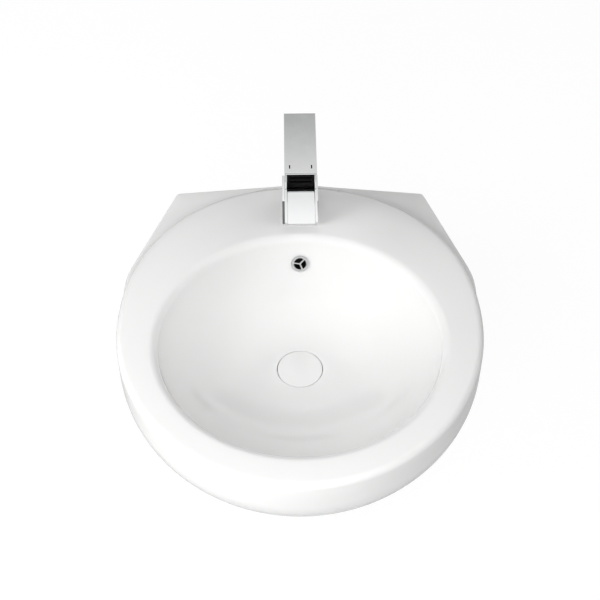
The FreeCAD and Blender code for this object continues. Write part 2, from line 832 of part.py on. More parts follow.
def waste_fitting():
    """The flanged waste body with its overflow slots, spider, gaskets, nut and tail."""
    radius = size("waste_tube_radius")
    flange = size("waste_flange_radius")
    length = size("waste_tube_length")
    top = length + size("waste_flange_thick")
    body_outline = [
        (tube_bore, 0),
        (radius, 0),
        (radius, length),
        (flange, length),
        (flange, top - 0.5),
        (flange - 0.5, top),
        (tube_bore, top),
    ]
    tube = turned("waste_tube", body_outline, at_drain(tube_under_z))
    slot_middle_z = bowl_floor_z - size("duct_inner_offset") - half(size("duct_depth"))
    slot_z = slot_middle_z - half(size("waste_slot_height"))
    extent = (size("waste_slot_width"), radius * 2.0 + 2.0, size("waste_slot_height"))
    slots = centred_block("waste_slots", extent, at_drain(slot_z))
    piece("waste_body", cut("waste_body", tube, [slots]))

    hub_bore = size("click_radius") + size("seat_gap")
    hub_radius = hub_bore + size("spider_hub_wall")
    thick = size("spider_thick")
    spider_under_z = spider_top_z - thick
    hub = rod("spider_hub", hub_radius, thick, at_drain(spider_under_z))
    arms = []
    for index in range(3):
        arm = doc.addObject("Part::Box", "spider_arm_%d" % (index + 1))
        bind(arm, Length=tube_bore, Width=size("spider_arm_width"), Height=thick)
        turn = Rotation(Vector(0, 0, 1), 90.0 + 120.0 * index)
        sideways = turn.multVec(Vector(0, -0.5 * size("spider_arm_width").number, 0))
        arm.Placement = FreeCAD.Placement(sideways, turn)
        middle = at_drain(spider_under_z)
        shifts = (sideways.x, sideways.y, 0.0)
        place(arm, [start + shift for start, shift in zip(middle, shifts)])
        arms.append(arm)
    web = join("spider_web", [hub] + arms)
    limit = rod("spider_limit", tube_bore - size("slide_gap"), thick, at_drain(spider_under_z))
    trimmed = doc.addObject("Part::Common", "spider_trimmed")
    trimmed.Base = web
    trimmed.Tool = limit
    bore = rod("spider_bore", hub_bore, thick + 2.0, at_drain(spider_under_z - 1.0))
    piece("plug_spider", cut("plug_spider", trimmed, [bore]))

    gasket_bore = radius + size("rest_gap")
    upper = ring_outline(gasket_bore, flange - 0.6, size("upper_gasket_thick"))
    piece("waste_upper_gasket", turned("waste_upper_gasket", upper, at_drain(recess_floor_z)))
    lower_z = boss_under_z - size("lower_gasket_thick")
    lower = ring_outline(gasket_bore, flange, size("lower_gasket_thick"))
    piece("waste_lower_gasket", turned("waste_lower_gasket", lower, at_drain(lower_z)))
    washer_z = lower_z - size("waste_washer_thick")
    washer = ring_outline(gasket_bore, flange, size("waste_washer_thick"))
    piece("waste_washer", turned("waste_washer", washer, at_drain(washer_z)))
    nut_z = washer_z - size("waste_nut_thick")
    nut_bore = radius + size("slide_gap")
    nut = hexagon_nut("waste_backnut", size("waste_nut_flats"), size("waste_nut_thick"),
                      nut_bore, at_drain(nut_z))
    piece("waste_backnut", nut)

    tail_radius = size("tail_radius")
    tail_bore = tail_radius - size("tail_wall")
    collar_radius = tube_bore - size("slide_gap")
    collar_base = size("tail_length") - size("tail_collar_length")
    tail_outline = [
        (tail_bore, 0),
        (tail_radius, 0),
        (tail_radius, collar_base),
        (collar_radius, collar_base),
        (collar_radius, size("tail_length")),
        (tail_bore, size("tail_length")),
    ]
    tail = turned("waste_tailpipe", tail_outline, at_drain(tube_under_z - collar_base))
    piece("waste_tailpipe", tail)


waste_plug()
click_action()
waste_fitting()

# ---------------------------------------------------------------- tap

gasket_top_z = rim_z + size("tap_gasket_thick")
base_top_z = gasket_top_z + size("tap_base_thick")
lever_top_z = rim_z + size("tap_lever_top")
lever_under_z = lever_top_z - size("lever_thick")
wall_top_z = lever_under_z - size("lever_gap")
tray_z = wall_top_z - size("mouth_height")
column_top_z = lever_under_z - size("column_top_gap")
pivot_z = rim_z + size("pivot_height")
bore_floor_z = rim_z + size("valve_floor_height")
valve_z = bore_floor_z + size("valve_seal_thick")
valve_top_z = valve_z + size("valve_height")
chamber_floor_z = valve_z + size("valve_floor_thick")
shoulder_z = chamber_floor_z + size("valve_chamber_height")
turret_z = shoulder_z + size("rest_gap")
waterway_z = rim_z + size("waterway_height")


def at_tap(height, forward=0, across=0):
    """A place measured from the upright axis of the tap."""
    return (as_length(across), tap_y - forward, as_length(height))


def pad_with_bore(node, width, thick, bore, height):
    """A square pad round the tap axis with a round hole in it."""
    corner = at_tap(height, half(width), -half(width))
    blank = plate(node + "_blank", rectangle(width, width), thick, corner)
    hole = rod(node + "_hole", bore, thick + 2.0, at_tap(height - 1.0))
    return piece(node, cut(node, blank, [hole]))


def tap_outside():
    """The gasket, base plate, shroud and the cast body with its open spout."""
    width = size("tap_width")
    base = size("tap_base_width")
    pad_with_bore("tap_gasket", base, size("tap_gasket_thick"), size("tap_base_bore"), rim_z)
    pad_with_bore("tap_base_plate", base, size("tap_base_thick"), size("tap_base_bore"),
                  gasket_top_z)
    shroud_width = size("shroud_width")
    shroud_height = size("shroud_height")
    corner = at_tap(base_top_z, half(shroud_width), -half(shroud_width))
    shroud = plate("shroud_blank", rectangle(shroud_width, shroud_width), shroud_height, corner)
    opening = width + size("rest_gap") * 2.0
    extent = (opening, opening, shroud_height + 2.0)
    inside = centred_block("shroud_inside", extent, at_tap(base_top_z - 1.0))
    piece("tap_shroud", cut("tap_shroud", shroud, [inside]))

    column = centred_block("tap_column", (width, width, column_top_z - base_top_z),
                           at_tap(base_top_z))
    tip = size("spout_reach")
    root_z = rim_z + size("spout_root_height")
    root = tip - half(width) + 1.0
    mouth = tip - size("lever_front_reach")
    tray_rise = tray_z - root_z
    spout_outline = [
        (root, 0),
        (root, wall_top_z - root_z),
        (mouth, wall_top_z - root_z),
        (mouth, tray_rise + size("tray_wall_height")),
        (0, tray_rise + size("tray_wall_height")),
        (0, tray_rise - size("spout_lip_thick")),
    ]
    body = doc.addObject("PartDesign::Body", "tap_spout")
    sketch = flat_sketch(body, "spout_outline", "YZ_Plane")
    closed_outline(sketch, spout_outline)
    pad = body.newObject("PartDesign::Pad", "spout_pad")
    pad.Profile = sketch
    bind(pad, Length=width)
    place(body, at_tap(root_z, tip, -half(width)))

    channel_width = width - size("mouth_wall") * 2.0
    channel_length = tip - size("trough_back") + 1.0
    channel_corner = at_tap(tray_z, tip + 1.0, -half(channel_width))
    channel_extent = (channel_width, channel_length, size("mouth_height") + 2.0)
    tools = [block("tap_channel", channel_extent, channel_corner)]
    bore_radius = size("valve_radius") + size("valve_fit")
    tools.append(rod("valve_bore", bore_radius, column_top_z - bore_floor_z + 1.0,
                     at_tap(bore_floor_z)))
    well_z = valve_top_z - 1.0
    tools.append(rod("valve_well", size("valve_well_radius"), column_top_z - well_z + 1.0,
                     at_tap(well_z)))
    waterway = size("waterway_radius")
    tools.append(rod("waterway_level", waterway, size("waterway_back"),
                     at_tap(waterway_z, size("waterway_back")), "y"))
    tools.append(rod("waterway_rise", waterway, tray_z - waterway_z + 1.0,
                     at_tap(waterway_z, size("waterway_back"))))
    for name, sign in (("hot", -1.0), ("cold", 1.0)):
        inlet_x = half(size("inlet_spacing")) * sign
        feed_x = half(size("valve_port_spacing")) * sign
        tools.append(rod(name + "_inlet_hole", size("inlet_radius"), size("inlet_depth") + 1.0,
                         at_tap(base_top_z - 1.0, -size("inlet_back"), inlet_x)))
        feed_z = base_top_z + size("inlet_depth") - 1.0
        tools.append(rod(name + "_feed", size("feed_radius"), bore_floor_z - feed_z + 1.0,
                         at_tap(feed_z, 0, feed_x)))
    stud_hole = size("stud_radius") + size("slide_gap")
    tools.append(rod("stud_hole", stud_hole, size("stud_grip") + 1.0,
                     at_tap(base_top_z - 1.0, size("stud_forward"))))
    casting = join("tap_casting", [column, body])
    piece("tap_body", cut("tap_body", casting, tools))


def flow_former():
    """The black insert that fills the mouth and spreads the water into a sheet."""
    width = size("tap_width") - size("mouth_wall") * 2.0 - size("rest_gap") * 2.0
    front = size("lever_front_reach") - size("former_front_inset")
    back = size("trough_back") + size("rest_gap")
    height = size("mouth_height") - 1.0
    wall = size("former_wall")
    floor = size("former_floor")
    blank = block("former_blank", (width, front - back, height), at_tap(tray_z, front, -half(width)))
    room_width = width - wall * 2.0
    room_z = tray_z + floor
    room_extent = (room_width, front - back - wall * 2.0, height - floor - wall)
    room = block("former_room", room_extent, at_tap(room_z, front - wall, -half(room_width)))
    slot_extent = (room_width, wall + 2.0, size("former_slot_height"))
    slot = block("former_slot", slot_extent, at_tap(room_z, front + 1.0, -half(room_width)))
    inlet = rod("former_inlet", size("waterway_radius"), floor + 2.0,
                at_tap(tray_z - 1.0, size("waterway_back")))
    piece("flow_former", cut("flow_former", blank, [room, slot, inlet]))


def lever():
    """The top plate with its two slots, and the hub and screw that hold it to the stem."""
    width = size("tap_width")
    front = size("lever_front_reach")
    length = front + size("lever_back_reach")
    thick = size("lever_thick")
    blank = plate("lever_blank", rectangle(width, length), thick,
                  at_tap(lever_under_z, front, -half(width)))
    slots = []
    for name, sign in (("left", -0.5), ("right", 0.5)):
        middle = size("lever_slot_spacing") * sign
        extent = (size("lever_slot_width"), size("lever_slot_length"), thick + 2.0)
        corner = at_tap(lever_under_z - 1.0, front - size("lever_slot_inset"),
                        middle - half(size("lever_slot_width")))
        slots.append(block(name + "_slot", extent, corner))
    piece("lever_plate", cut("lever_plate", blank, slots))

    hub_height = size("hub_height")
    hub_z = lever_under_z - hub_height
    hub = rod("hub_blank", size("hub_radius"), hub_height, at_tap(hub_z))
    socket_width = size("stem_width") + size("slide_gap") * 2.0
    socket = centred_block("hub_socket", (socket_width, socket_width, hub_height + 2.0),
                           at_tap(hub_z - 1.0))
    screw_z = hub_z + half(hub_height)
    screw_hole = size("hub_screw_radius") + size("slide_gap")
    hole = rod("hub_screw_hole", screw_hole, size("hub_radius") + 1.0, at_tap(screw_z), "y")
    piece("lever_hub", cut("lever_hub", hub, [socket, hole]))
    screw_start = half(size("stem_width")) + size("slide_gap")
    screw_length = size("hub_radius") - screw_start - size("rest_gap")
    piece("hub_screw", rod("hub_screw", size("hub_screw_radius"), screw_length,
                           at_tap(screw_z, -screw_start), "y"))


def mixing_valve():
    """The single-lever cartridge: stem, pin, turret, discs, body, seals, nut and dome."""
    stem_width = size("stem_width")
    moving_z = chamber_floor_z + size("fixed_disc_thick") + size("slide_gap")
    moving_top_z = moving_z + size("moving_disc_thick")
    finger_z = moving_top_z - size("disc_socket_depth") + size("rest_gap") * 1.5
    finger_top_z = finger_z + size("stem_finger_length")
    shaft = centred_block("stem_shaft",
                          (stem_width, stem_width, lever_under_z - size("rest_gap") - finger_top_z),
                          at_tap(finger_top_z))
    finger = rod("stem_finger", size("stem_finger_radius"), size("stem_finger_length") + 1.0,
                 at_tap(finger_z))
    stem = join("stem_blank", [shaft, finger])
    pin_length = size("pivot_pin_length")
    pin_hole = size("pivot_pin_radius") + size("slide_gap")
    pin_way = rod("stem_pin_hole", pin_hole, pin_length, at_tap(pivot_z, 0, -half(pin_length)), "x")
    piece("cartridge_stem", cut("cartridge_stem", stem, [pin_way]))
    piece("pivot_pin", rod("pivot_pin", size("pivot_pin_radius"), pin_length,
                           at_tap(pivot_z, 0, -half(pin_length)), "x"))

    turret_outline = [
        (0, 0),
        (size("turret_radius"), 0),
        (size("turret_radius"), size("turret_height")),
        (size("turret_neck_radius"), size("turret_height")),
        (size("turret_neck_radius"), size("turret_height") + size("turret_neck_height")),
        (0, size("turret_height") + size("turret_neck_height")),
    ]
    turret = turned("turret_blank", turret_outline, at_tap(turret_z))
    slot_height = size("turret_height") + size("turret_neck_height") + 2.0
    slot_extent = (stem_width + size("rest_gap"), size("turret_slot_length"), slot_height)
    slot = centred_block("turret_slot", slot_extent, at_tap(turret_z - 1.0))
    bearing = rod("turret_pin_hole", pin_hole, pin_length + size("rest_gap"),
                  at_tap(pivot_z, 0, -half(pin_length + size("rest_gap"))), "x")
    piece("cartridge_turret", cut("cartridge_turret", turret, [slot, bearing]))

    radius = size("valve_radius")
    turret_bore = size("turret_radius") + size("valve_fit")
    shell_outline = [
        (0, 0),
        (radius, 0),
        (radius, size("valve_height")),
        (turret_bore, size("valve_height")),
        (turret_bore, shoulder_z - valve_z),
        (size("valve_chamber_radius"), shoulder_z - valve_z),
        (size("valve_chamber_radius"), size("valve_floor_thick")),
        (0, size("valve_floor_thick")),
    ]
    shell = turned("valve_shell", shell_outline, at_tap(valve_z))
    window = rod("valve_window", size("waterway_radius"), radius + 1.0,
                 at_tap(waterway_z, radius + 1.0), "y")
    ports = []
    disc_ports = []
    seals = []
    for name, sign in (("hot", -0.5), ("cold", 0.5)):
        port_x = size("valve_port_spacing") * sign
        ports.append(rod(name + "_port", size("valve_port_radius"),
                         size("valve_floor_thick") + 2.0, at_tap(valve_z - 1.0, 0, port_x)))
        disc_ports.append(rod(name + "_disc_port", size("valve_port_radius"),
                              size("fixed_disc_thick") + 2.0,
                              at_tap(chamber_floor_z - 1.0, 0, port_x)))
        seal = doc.addObject("Part::Torus", name + "_seal")
        section = half(size("valve_seal_thick"))
        bind(seal, Radius1=size("valve_seal_radius") - section, Radius2=section)
        place(seal, at_tap(bore_floor_z + section, 0, port_x))
        seals.append(seal)
    piece("cartridge_body", cut("cartridge_body", shell, [window] + ports))
    piece("cartridge_seals", gather("cartridge_seals", seals))
    fixed = rod("fixed_blank", size("fixed_disc_radius"), size("fixed_disc_thick"),
                at_tap(chamber_floor_z))
    piece("fixed_disc", cut("fixed_disc", fixed, disc_ports))
    moving = rod("moving_blank", size("moving_disc_radius"), size("moving_disc_thick"),
                 at_tap(moving_z))
    socket = rod("disc_socket", size("disc_socket_radius"), size("disc_socket_depth") + 1.0,
                 at_tap(moving_top_z - size("disc_socket_depth")))
    piece("moving_disc", cut("moving_disc", moving, [socket]))

    nut = ring_outline(size("valve_nut_bore"), size("valve_nut_radius"), size("valve_nut_thick"))
    piece("cartridge_nut", turned("cartridge_nut", nut, at_tap(valve_top_z)))
    dome_outline = [
        (size("dome_bore"), 0),
        (size("dome_radius"), 0),
        (size("dome_radius"), size("dome_height") * 0.35),
        (size("dome_top_radius"), size("dome_height")),
        (size("dome_bore"), size("dome_height")),
    ]
    piece("cartridge_dome", turned("cartridge_dome", dome_outline, at_tap(column_top_z)))


def tap_fixing():
    """The stud, horseshoe washer and plate, and nut that clamp the tap to the ledge."""
    rubber_z = ledge_under_z - size("horseshoe_rubber_thick")
    plate_z = rubber_z - size("horseshoe_plate_thick")
    nut_z = plate_z - size("fixing_nut_thick")
    stud_z = nut_z - size("stud_tail")
    forward = size("stud_forward")
    piece("fixing_stud", rod("fixing_stud", size("stud_radius"),
                             base_top_z + size("stud_grip") - size("seat_gap") - stud_z,
                             at_tap(stud_z, forward)))
    hole_radius = size("stud_radius") + size("rest_gap")
    for node, thick, height in (
        ("horseshoe_washer", size("horseshoe_rubber_thick"), rubber_z),
        ("horseshoe_plate", size("horseshoe_plate_thick"), plate_z),
    ):
        disc = rod(node + "_disc", size("horseshoe_radius"), thick, at_tap(height))
        slot_width = size("horseshoe_slot_width")
        slot_extent = (slot_width, size("horseshoe_radius") * 2.0, thick + 2.0)
        slot_front = size("horseshoe_bridge")
        slot = block(node + "_slot", slot_extent, at_tap(height - 1.0, slot_front, -half(slot_width)))
        hole = rod(node + "_hole", hole_radius, thick + 2.0, at_tap(height - 1.0, forward))
        piece(node, cut(node, disc, [slot, hole]))
    nut_bore = size("stud_radius") + size("slide_gap")
    piece("fixing_nut", hexagon_nut("fixing_nut", size("fixing_nut_flats"),
                                    size("fixing_nut_thick"), nut_bore, at_tap(nut_z, forward)))


tap_outside()
flow_former()
lever()
mixing_valve()
tap_fixing()

# ---------------------------------------------------------------- check and write

doc.recompute()
failed = [item.Name for item in doc.Objects if set(item.State) & {"Invalid", "Error"}]
for item in PIECES:
    if item.Shape.isNull() or not item.Shape.isValid():
        failed.append(item.Label)
if failed:
    raise SystemExit("failed objects: %s" % ", ".join(failed))
os.makedirs("parts", exist_ok=True)
for item in PIECES:
    item.Shape.exportStep("parts/%s.step" % item.Label)
    box = item.Shape.BoundBox
    print("%-20s %d solid(s) %12.1f mm3  z %.1f to %.1f" % (
        item.Label, len(item.Shape.Solids), item.Shape.Volume, box.ZMin, box.ZMax))
print("%d nodes" % len(PIECES))
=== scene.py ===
"""A semi recessed basin with its mixer tap, overflow and waste, dressed for a soft studio.

Lengths are in metres: +Z up, +Y into the wall, -Y towards the user, +X to the user's right.
The origin is on the wall, in the middle of the basin, at the height of the worktop's top.
"""
import json
import logging
import math
from dataclasses import dataclass
from enum import Enum
from typing import Sequence

import bmesh
import bpy
from mathutils import Matrix, Vector
from mathutils.bvhtree import BVHTree


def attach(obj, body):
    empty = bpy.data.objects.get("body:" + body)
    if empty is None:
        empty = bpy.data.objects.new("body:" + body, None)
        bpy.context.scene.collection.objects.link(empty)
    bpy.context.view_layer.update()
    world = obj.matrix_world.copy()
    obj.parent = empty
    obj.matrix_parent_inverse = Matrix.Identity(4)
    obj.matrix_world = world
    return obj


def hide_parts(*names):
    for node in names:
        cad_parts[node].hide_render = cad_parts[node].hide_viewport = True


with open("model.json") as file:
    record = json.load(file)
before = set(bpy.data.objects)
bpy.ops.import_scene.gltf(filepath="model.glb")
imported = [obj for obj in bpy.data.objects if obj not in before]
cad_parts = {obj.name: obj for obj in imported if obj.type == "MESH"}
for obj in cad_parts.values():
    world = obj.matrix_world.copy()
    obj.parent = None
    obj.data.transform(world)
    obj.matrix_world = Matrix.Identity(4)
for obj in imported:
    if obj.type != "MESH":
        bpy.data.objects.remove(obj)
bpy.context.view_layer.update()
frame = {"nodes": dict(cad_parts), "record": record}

LOG = logging.getLogger("basin")
MM = 0.001
QUARTER = 0.5 * math.pi
SIDES = (-1.0, 1.0)
WHITE = (1.0, 1.0, 1.0, 1.0)

Point = tuple[float, float]
Place = tuple[float, float, float]
Colour = tuple[float, float, float]
Piece = bpy.types.Object
Socket = bpy.types.NodeSocket
Tree = bpy.types.NodeTree


class Body(Enum):
    """The rigid bodies that the rebuilt pieces ride on."""

    BASIN = "basin"
    PLUG = "plug"
    LEVER = "lever"


class Slot(Enum):
    """The record's material slots."""

    WHITE_GLAZE = "white_glaze"
    CHROME = "chrome"
    SATIN_GRAPHITE = "satin_graphite"
    BLACK_PLASTIC = "black_plastic"
    RUBBER = "rubber"
    STEEL = "steel"
    BRASS = "brass"
    WHITE_PLASTIC = "white_plastic"
    VALVE_PLASTIC = "valve_plastic"
    VALVE_CERAMIC = "valve_ceramic"


# ---------------------------------------------------------------- nodes


def feed(tree: Tree, target: Socket, value: object) -> None:
    """Set a socket to a value, or join it to the output of another node.

    Args:
        tree: the tree that the socket is in.
        target: the socket.
        value: the value or the output.
    """
    if isinstance(value, Socket):
        tree.links.new(value, target)
    else:
        target.default_value = value


def add_node(tree: Tree, kind: str, inputs: dict[str | int, object] | None = None,
             **options: object) -> bpy.types.bpy_prop_collection:
    """Add a node to a tree.

    Args:
        tree: the tree.
        kind: the node's type.
        inputs: a value or another node's output for each input, by its name or number.
        options: the node's own settings.

    Returns:
        The node's outputs.
    """
    node = tree.nodes.new(kind)
    for option, value in options.items():
        setattr(node, option, value)
    for key, value in (inputs or {}).items():
        feed(tree, node.inputs[key], value)
    return node.outputs


def maths(tree: Tree, operation: str, *values: object) -> Socket:
    """Add a Math node on numbers or outputs, and give its result."""
    return add_node(tree, "ShaderNodeMath", dict(enumerate(values)), operation=operation)["Value"]


def ramp(tree: Tree, value: Socket, stops: Sequence[tuple[float, Colour]]) -> Socket:
    """Add a ramp of colours to a tree.

    Args:
        tree: the tree.
        value: what the ramp follows.
        stops: (value, colour) of each stop, in order.

    Returns:
        The ramp's colour.
    """
    node = tree.nodes.new("ShaderNodeValToRGB")
    feed(tree, node.inputs["Fac"], value)
    elements = node.color_ramp.elements
    for position, _ in stops[1:-1]:
        elements.new(position)
    for element, (position, colour) in zip(elements, stops):
        element.position = position
        element.color = (*colour, 1.0)
    return node.outputs["Color"]


# ---------------------------------------------------------------- finishes


class Shader:
    """A material's node tree, with short calls that lead patterns to its one shader."""

    pattern_low = 0.3
    pattern_high = 0.7

    def __init__(self, name: str) -> None:
        """Start a material with one Principled shader.

        Args:
            name: the material's name.
        """
        self.material = bpy.data.materials.new(name)
        self.material.use_nodes = True
        self.tree = self.material.node_tree
        self.surface = self.tree.nodes["Principled BSDF"]

    def set(self, **values: object) -> None:
        """Set or join sockets of the shader; an underscore in a name stands for a space.

        Args:
            values: socket names, each with a number, a colour or another node's output.
        """
        for name, value in values.items():
            plain = (*value, 1.0) if isinstance(value, tuple) else value
            feed(self.tree, self.surface.inputs[name.replace("_", " ")], plain)

    def noise(self, scale: float, detail: float, stretch: Place = (1.0, 1.0, 1.0)) -> Socket:
        """Add a noise pattern on the object's own coordinates.

        Args:
            scale: how many spots there are in a metre.
            detail: how many finer layers are added.
            stretch: how the pattern is squeezed along each axis.

        Returns:
            The pattern's value, from 0 to 1.
        """
        own = add_node(self.tree, "ShaderNodeTexCoord")["Object"]
        place = add_node(self.tree, "ShaderNodeMapping", {"Vector": own, "Scale": stretch})
        pattern = {"Vector": place["Vector"], "Scale": scale, "Detail": detail}
        return add_node(self.tree, "ShaderNodeTexNoise", pattern)["Fac"]

    def spread(self, value: Socket, low: float, high: float) -> None:
        """Let the roughness follow a pattern.

        Args:
            value: the pattern, from 0 to 1.
            low: the roughness where the pattern is low.
            high: the roughness where the pattern is high.
        """
        ends = {"From Min": self.pattern_low, "From Max": self.pattern_high,
                "To Min": low, "To Max": high, "Value": value}
        self.set(Roughness=add_node(self.tree, "ShaderNodeMapRange", ends)["Result"])

    def tint(self, value: Socket, colour: Colour, drift: float) -> None:
        """Let the base colour follow a pattern.

        Args:
            value: the pattern, from 0 to 1.
            colour: the colour where the pattern is high.
            drift: what that colour is multiplied by where the pattern is low.
        """
        stops = ((self.pattern_low, tuple(part * drift for part in colour)),
                 (self.pattern_high, colour))
        self.set(Base_Color=ramp(self.tree, value, stops))

    def bump(self, value: Socket, depth: float) -> None:
        """Roughen the surface by a pattern whose height is depth in metres."""
        raised = {"Strength": 1.0, "Distance": depth, "Height": value}
        self.set(Normal=add_node(self.tree, "ShaderNodeBump", raised)["Normal"])


@dataclass(frozen=True)
class Finish:
    """What every finish has: a slot of the record, a colour and, if need be, its own name."""

    slot: Slot
    colour: Colour
    label: str = ""

    def material(self) -> bpy.types.Material:
        """Build the material of this finish, or find the one that is already there.

        Returns:
            The material.
        """
        name = self.label or self.slot.value
        known = bpy.data.materials.get(name)
        if known and known.get("made"):
            return known
        if known:
            known.name = name + "_plain"
        shader = Shader(name)
        self.dress(shader)
        shader.material["made"] = True
        return shader.material

    def dress(self, shader: Shader) -> None:
        """Set up the shader; each kind of finish has its own way."""
        raise NotImplementedError


@dataclass(frozen=True)
class Glaze(Finish):
    """Fired white glaze: glossy, faintly uneven where it ran, and a little warmer where thin."""

    roughness: float = 0.09
    pool_scale: float = 7.0
    peel_scale: float = 130.0
    peel_depth: float = 0.000012
    drift: float = 0.985

    def dress(self, shader: Shader) -> None:
        """Set up the glaze.

        Args:
            shader: the shader to set up.
        """
        shader.set(Roughness=self.roughness, IOR=1.5, Coat_Weight=0.25, Coat_Roughness=0.04)
        shader.tint(shader.noise(self.pool_scale, detail=3.0), self.colour, self.drift)
        shader.bump(shader.noise(self.peel_scale, detail=2.0), self.peel_depth)


@dataclass(frozen=True)
class Metal(Finish):
    """Plated, turned or brushed metal, whose gloss varies along the way it was worked."""

    smooth: float = 0.03
    rough: float = 0.08
    wear_scale: float = 60.0
    grain_scale: float = 900.0
    grain_depth: float = 0.000002
    stretch: Place = (1.0, 1.0, 1.0)
    drift: float = 0.97

    def dress(self, shader: Shader) -> None:
        """Set up the metal.

        Args:
            shader: the shader to set up.
        """
        shader.set(Metallic=1.0)
        wear = shader.noise(self.wear_scale, detail=4.0, stretch=self.stretch)
        shader.tint(wear, self.colour, self.drift)
        shader.spread(wear, self.smooth, self.rough)
        grain = shader.noise(self.grain_scale, detail=2.0, stretch=self.stretch)
        shader.bump(grain, self.grain_depth)


@dataclass(frozen=True)
class Moulded(Finish):
    """Moulded plastic, rubber or sintered ceramic, with the fine grain of its mould."""

    smooth: float = 0.35
    rough: float = 0.5
    cloud_scale: float = 40.0
    grain_scale: float = 1400.0
    grain_depth: float = 0.00001
    drift: float = 0.93
    sheen: float = 0.5

    def dress(self, shader: Shader) -> None:
        """Set up the moulded surface.

        Args:
            shader: the shader to set up.
        """
        shader.set(IOR=1.48, Specular_IOR_Level=self.sheen)
        cloud = shader.noise(self.cloud_scale, detail=4.0)
        shader.tint(cloud, self.colour, self.drift)
        shader.spread(cloud, self.smooth, self.rough)
        shader.bump(shader.noise(self.grain_scale, detail=2.0), self.grain_depth)


WHITE_GLAZE = Glaze(Slot.WHITE_GLAZE, (0.90, 0.90, 0.895))
# Painted shade: the ceramic faces that line the overflow duct and hole get a near-black colour for
# the shade deep inside them.
DUCT_SHADE = Moulded(Slot.WHITE_GLAZE, (0.035, 0.034, 0.032), "duct_painted_shade", smooth=0.7, rough=0.85,
                    sheen=0.1)
CHROME = Metal(Slot.CHROME, (0.90, 0.905, 0.91))
CHROME_SATIN = Metal(Slot.CHROME, (0.90, 0.905, 0.91), "chrome_satin", smooth=0.3, rough=0.42)
# Painted shade: the ring's bore below the grille gets a near-black colour for the shade inside the
# overflow.
CHROME_BORE_SHADE = Moulded(Slot.CHROME, (0.012, 0.012, 0.012), "chrome_bore_painted_shade", smooth=0.5,
                        rough=0.65, sheen=0.2)
SATIN_GRAPHITE = Metal(Slot.SATIN_GRAPHITE, (0.20, 0.205, 0.21), smooth=0.28, rough=0.36)
BLACK_PLASTIC = Moulded(Slot.BLACK_PLASTIC, (0.004, 0.004, 0.0042), drift=0.8, sheen=0.12)
RUBBER = Moulded(Slot.RUBBER, (0.03, 0.03, 0.03), smooth=0.6, rough=0.75, grain_depth=0.00002)
STEEL = Metal(Slot.STEEL, (0.60, 0.60, 0.61), smooth=0.2, rough=0.34,
              stretch=(1.0, 1.0, 12.0), drift=0.9)
BRASS = Metal(Slot.BRASS, (0.72, 0.52, 0.25), smooth=0.16, rough=0.3,
              stretch=(1.0, 1.0, 20.0), drift=0.88)
WHITE_PLASTIC = Moulded(Slot.WHITE_PLASTIC, (0.78, 0.78, 0.77), drift=0.97)
VALVE_PLASTIC = Moulded(Slot.VALVE_PLASTIC, (0.33, 0.35, 0.38))
VALVE_CERAMIC = Moulded(Slot.VALVE_CERAMIC, (0.82, 0.79, 0.73), smooth=0.12, rough=0.2,
                        grain_depth=0.000002)
FINISHES = (WHITE_GLAZE, CHROME, SATIN_GRAPHITE, BLACK_PLASTIC, RUBBER, STEEL, BRASS,
            WHITE_PLASTIC, VALVE_PLASTIC, VALVE_CERAMIC)

# ---------------------------------------------------------------- making meshes


def steps(first: float, last: float, count: int) -> list[float]:
    """Give the ends of equal stretches from one value to another."""
    return [first + (last - first) * step / count for step in range(count + 1)]


def at_height(point: Vector, height: float) -> Vector:
    """Give the point at a height above or below another."""
    return Vector((point.x, point.y, height))


def kept(built: bmesh.types.BMesh, name: str) -> Piece:
    """Turn a mesh under construction into an object at the origin, and free it.

    Args:
        built: the mesh under construction.
        name: the object's name.

    Returns:
        The new object.
    """
    mesh = bpy.data.meshes.new(name)
    built.to_mesh(mesh)
    built.free()
    made = bpy.data.objects.new(name, mesh)
    bpy.context.scene.collection.objects.link(made)
    return made


def from_faces(name: str, points: Sequence[Vector], faces: Sequence[Sequence[int]]) -> Piece:
    """Make an object from points and faces, with doubles merged and normals outwards.

    Args:
        name: the object's name.
        points: the corners.
        faces: the corner numbers of each face.

    Returns:
        The new object.
    """
    double, thin = 0.005 * MM, 0.003 * MM
    built = bmesh.new()
    corners = [built.verts.new(point) for point in points]
    for face in faces:
        built.faces.new([corners[index] for index in face])
    bmesh.ops.remove_doubles(built, verts=built.verts, dist=double)
    bmesh.ops.dissolve_degenerate(built, edges=built.edges, dist=thin)
    bmesh.ops.recalc_face_normals(built, faces=built.faces)
    return kept(built, name)


def skin(name: str, sections: Sequence[Sequence[Vector]]) -> Piece:
    """Skin closed sections of as many points each, from one to the next and round to the first.

    Args:
        name: the object's name.
        sections: the points of each section.

    Returns:
        The new object.
    """
    rows = len(sections[0])
    faces = []
    for here, section in enumerate(sections):
        there = (here + 1) % len(sections)
        for row in range(rows):
            above = (row + 1) % rows
            if any(section[end] != sections[there][end] for end in (row, above)):
                faces.append((here * rows + row, there * rows + row,
                              there * rows + above, here * rows + above))
    return from_faces(name, [point for section in sections for point in section], faces)


def smooth(piece: Piece, angle: float = 35.0) -> Piece:
    """Shade a piece smooth, but for edges sharper than an angle in degrees.

    Args:
        piece: the piece.
        angle: the angle.

    Returns:
        The piece.
    """
    piece.data.shade_smooth()
    piece.data.set_sharp_from_angle(angle=math.radians(angle))
    return piece


def settle(piece: Piece) -> Piece:
    """Turn the result of a piece's modifiers into its plain mesh.

    Args:
        piece: the piece whose modifiers are done with.

    Returns:
        The piece.
    """
    bpy.context.view_layer.update()
    graph = bpy.context.evaluated_depsgraph_get()
    result = bpy.data.meshes.new_from_object(piece.evaluated_get(graph))
    piece.modifiers.clear()
    old = piece.data
    piece.data = result
    bpy.data.meshes.remove(old)
    result.name = piece.name
    return piece


def modified(piece: Piece, kind: str, **options: object) -> Piece:
    """Run one modifier on a piece.

    Args:
        piece: the piece.
        kind: the modifier's type.
        options: its settings.

    Returns:
        The piece.
    """
    modifier = piece.modifiers.new(kind.lower(), kind)
    for option, value in options.items():
        setattr(modifier, option, value)
    return settle(piece)


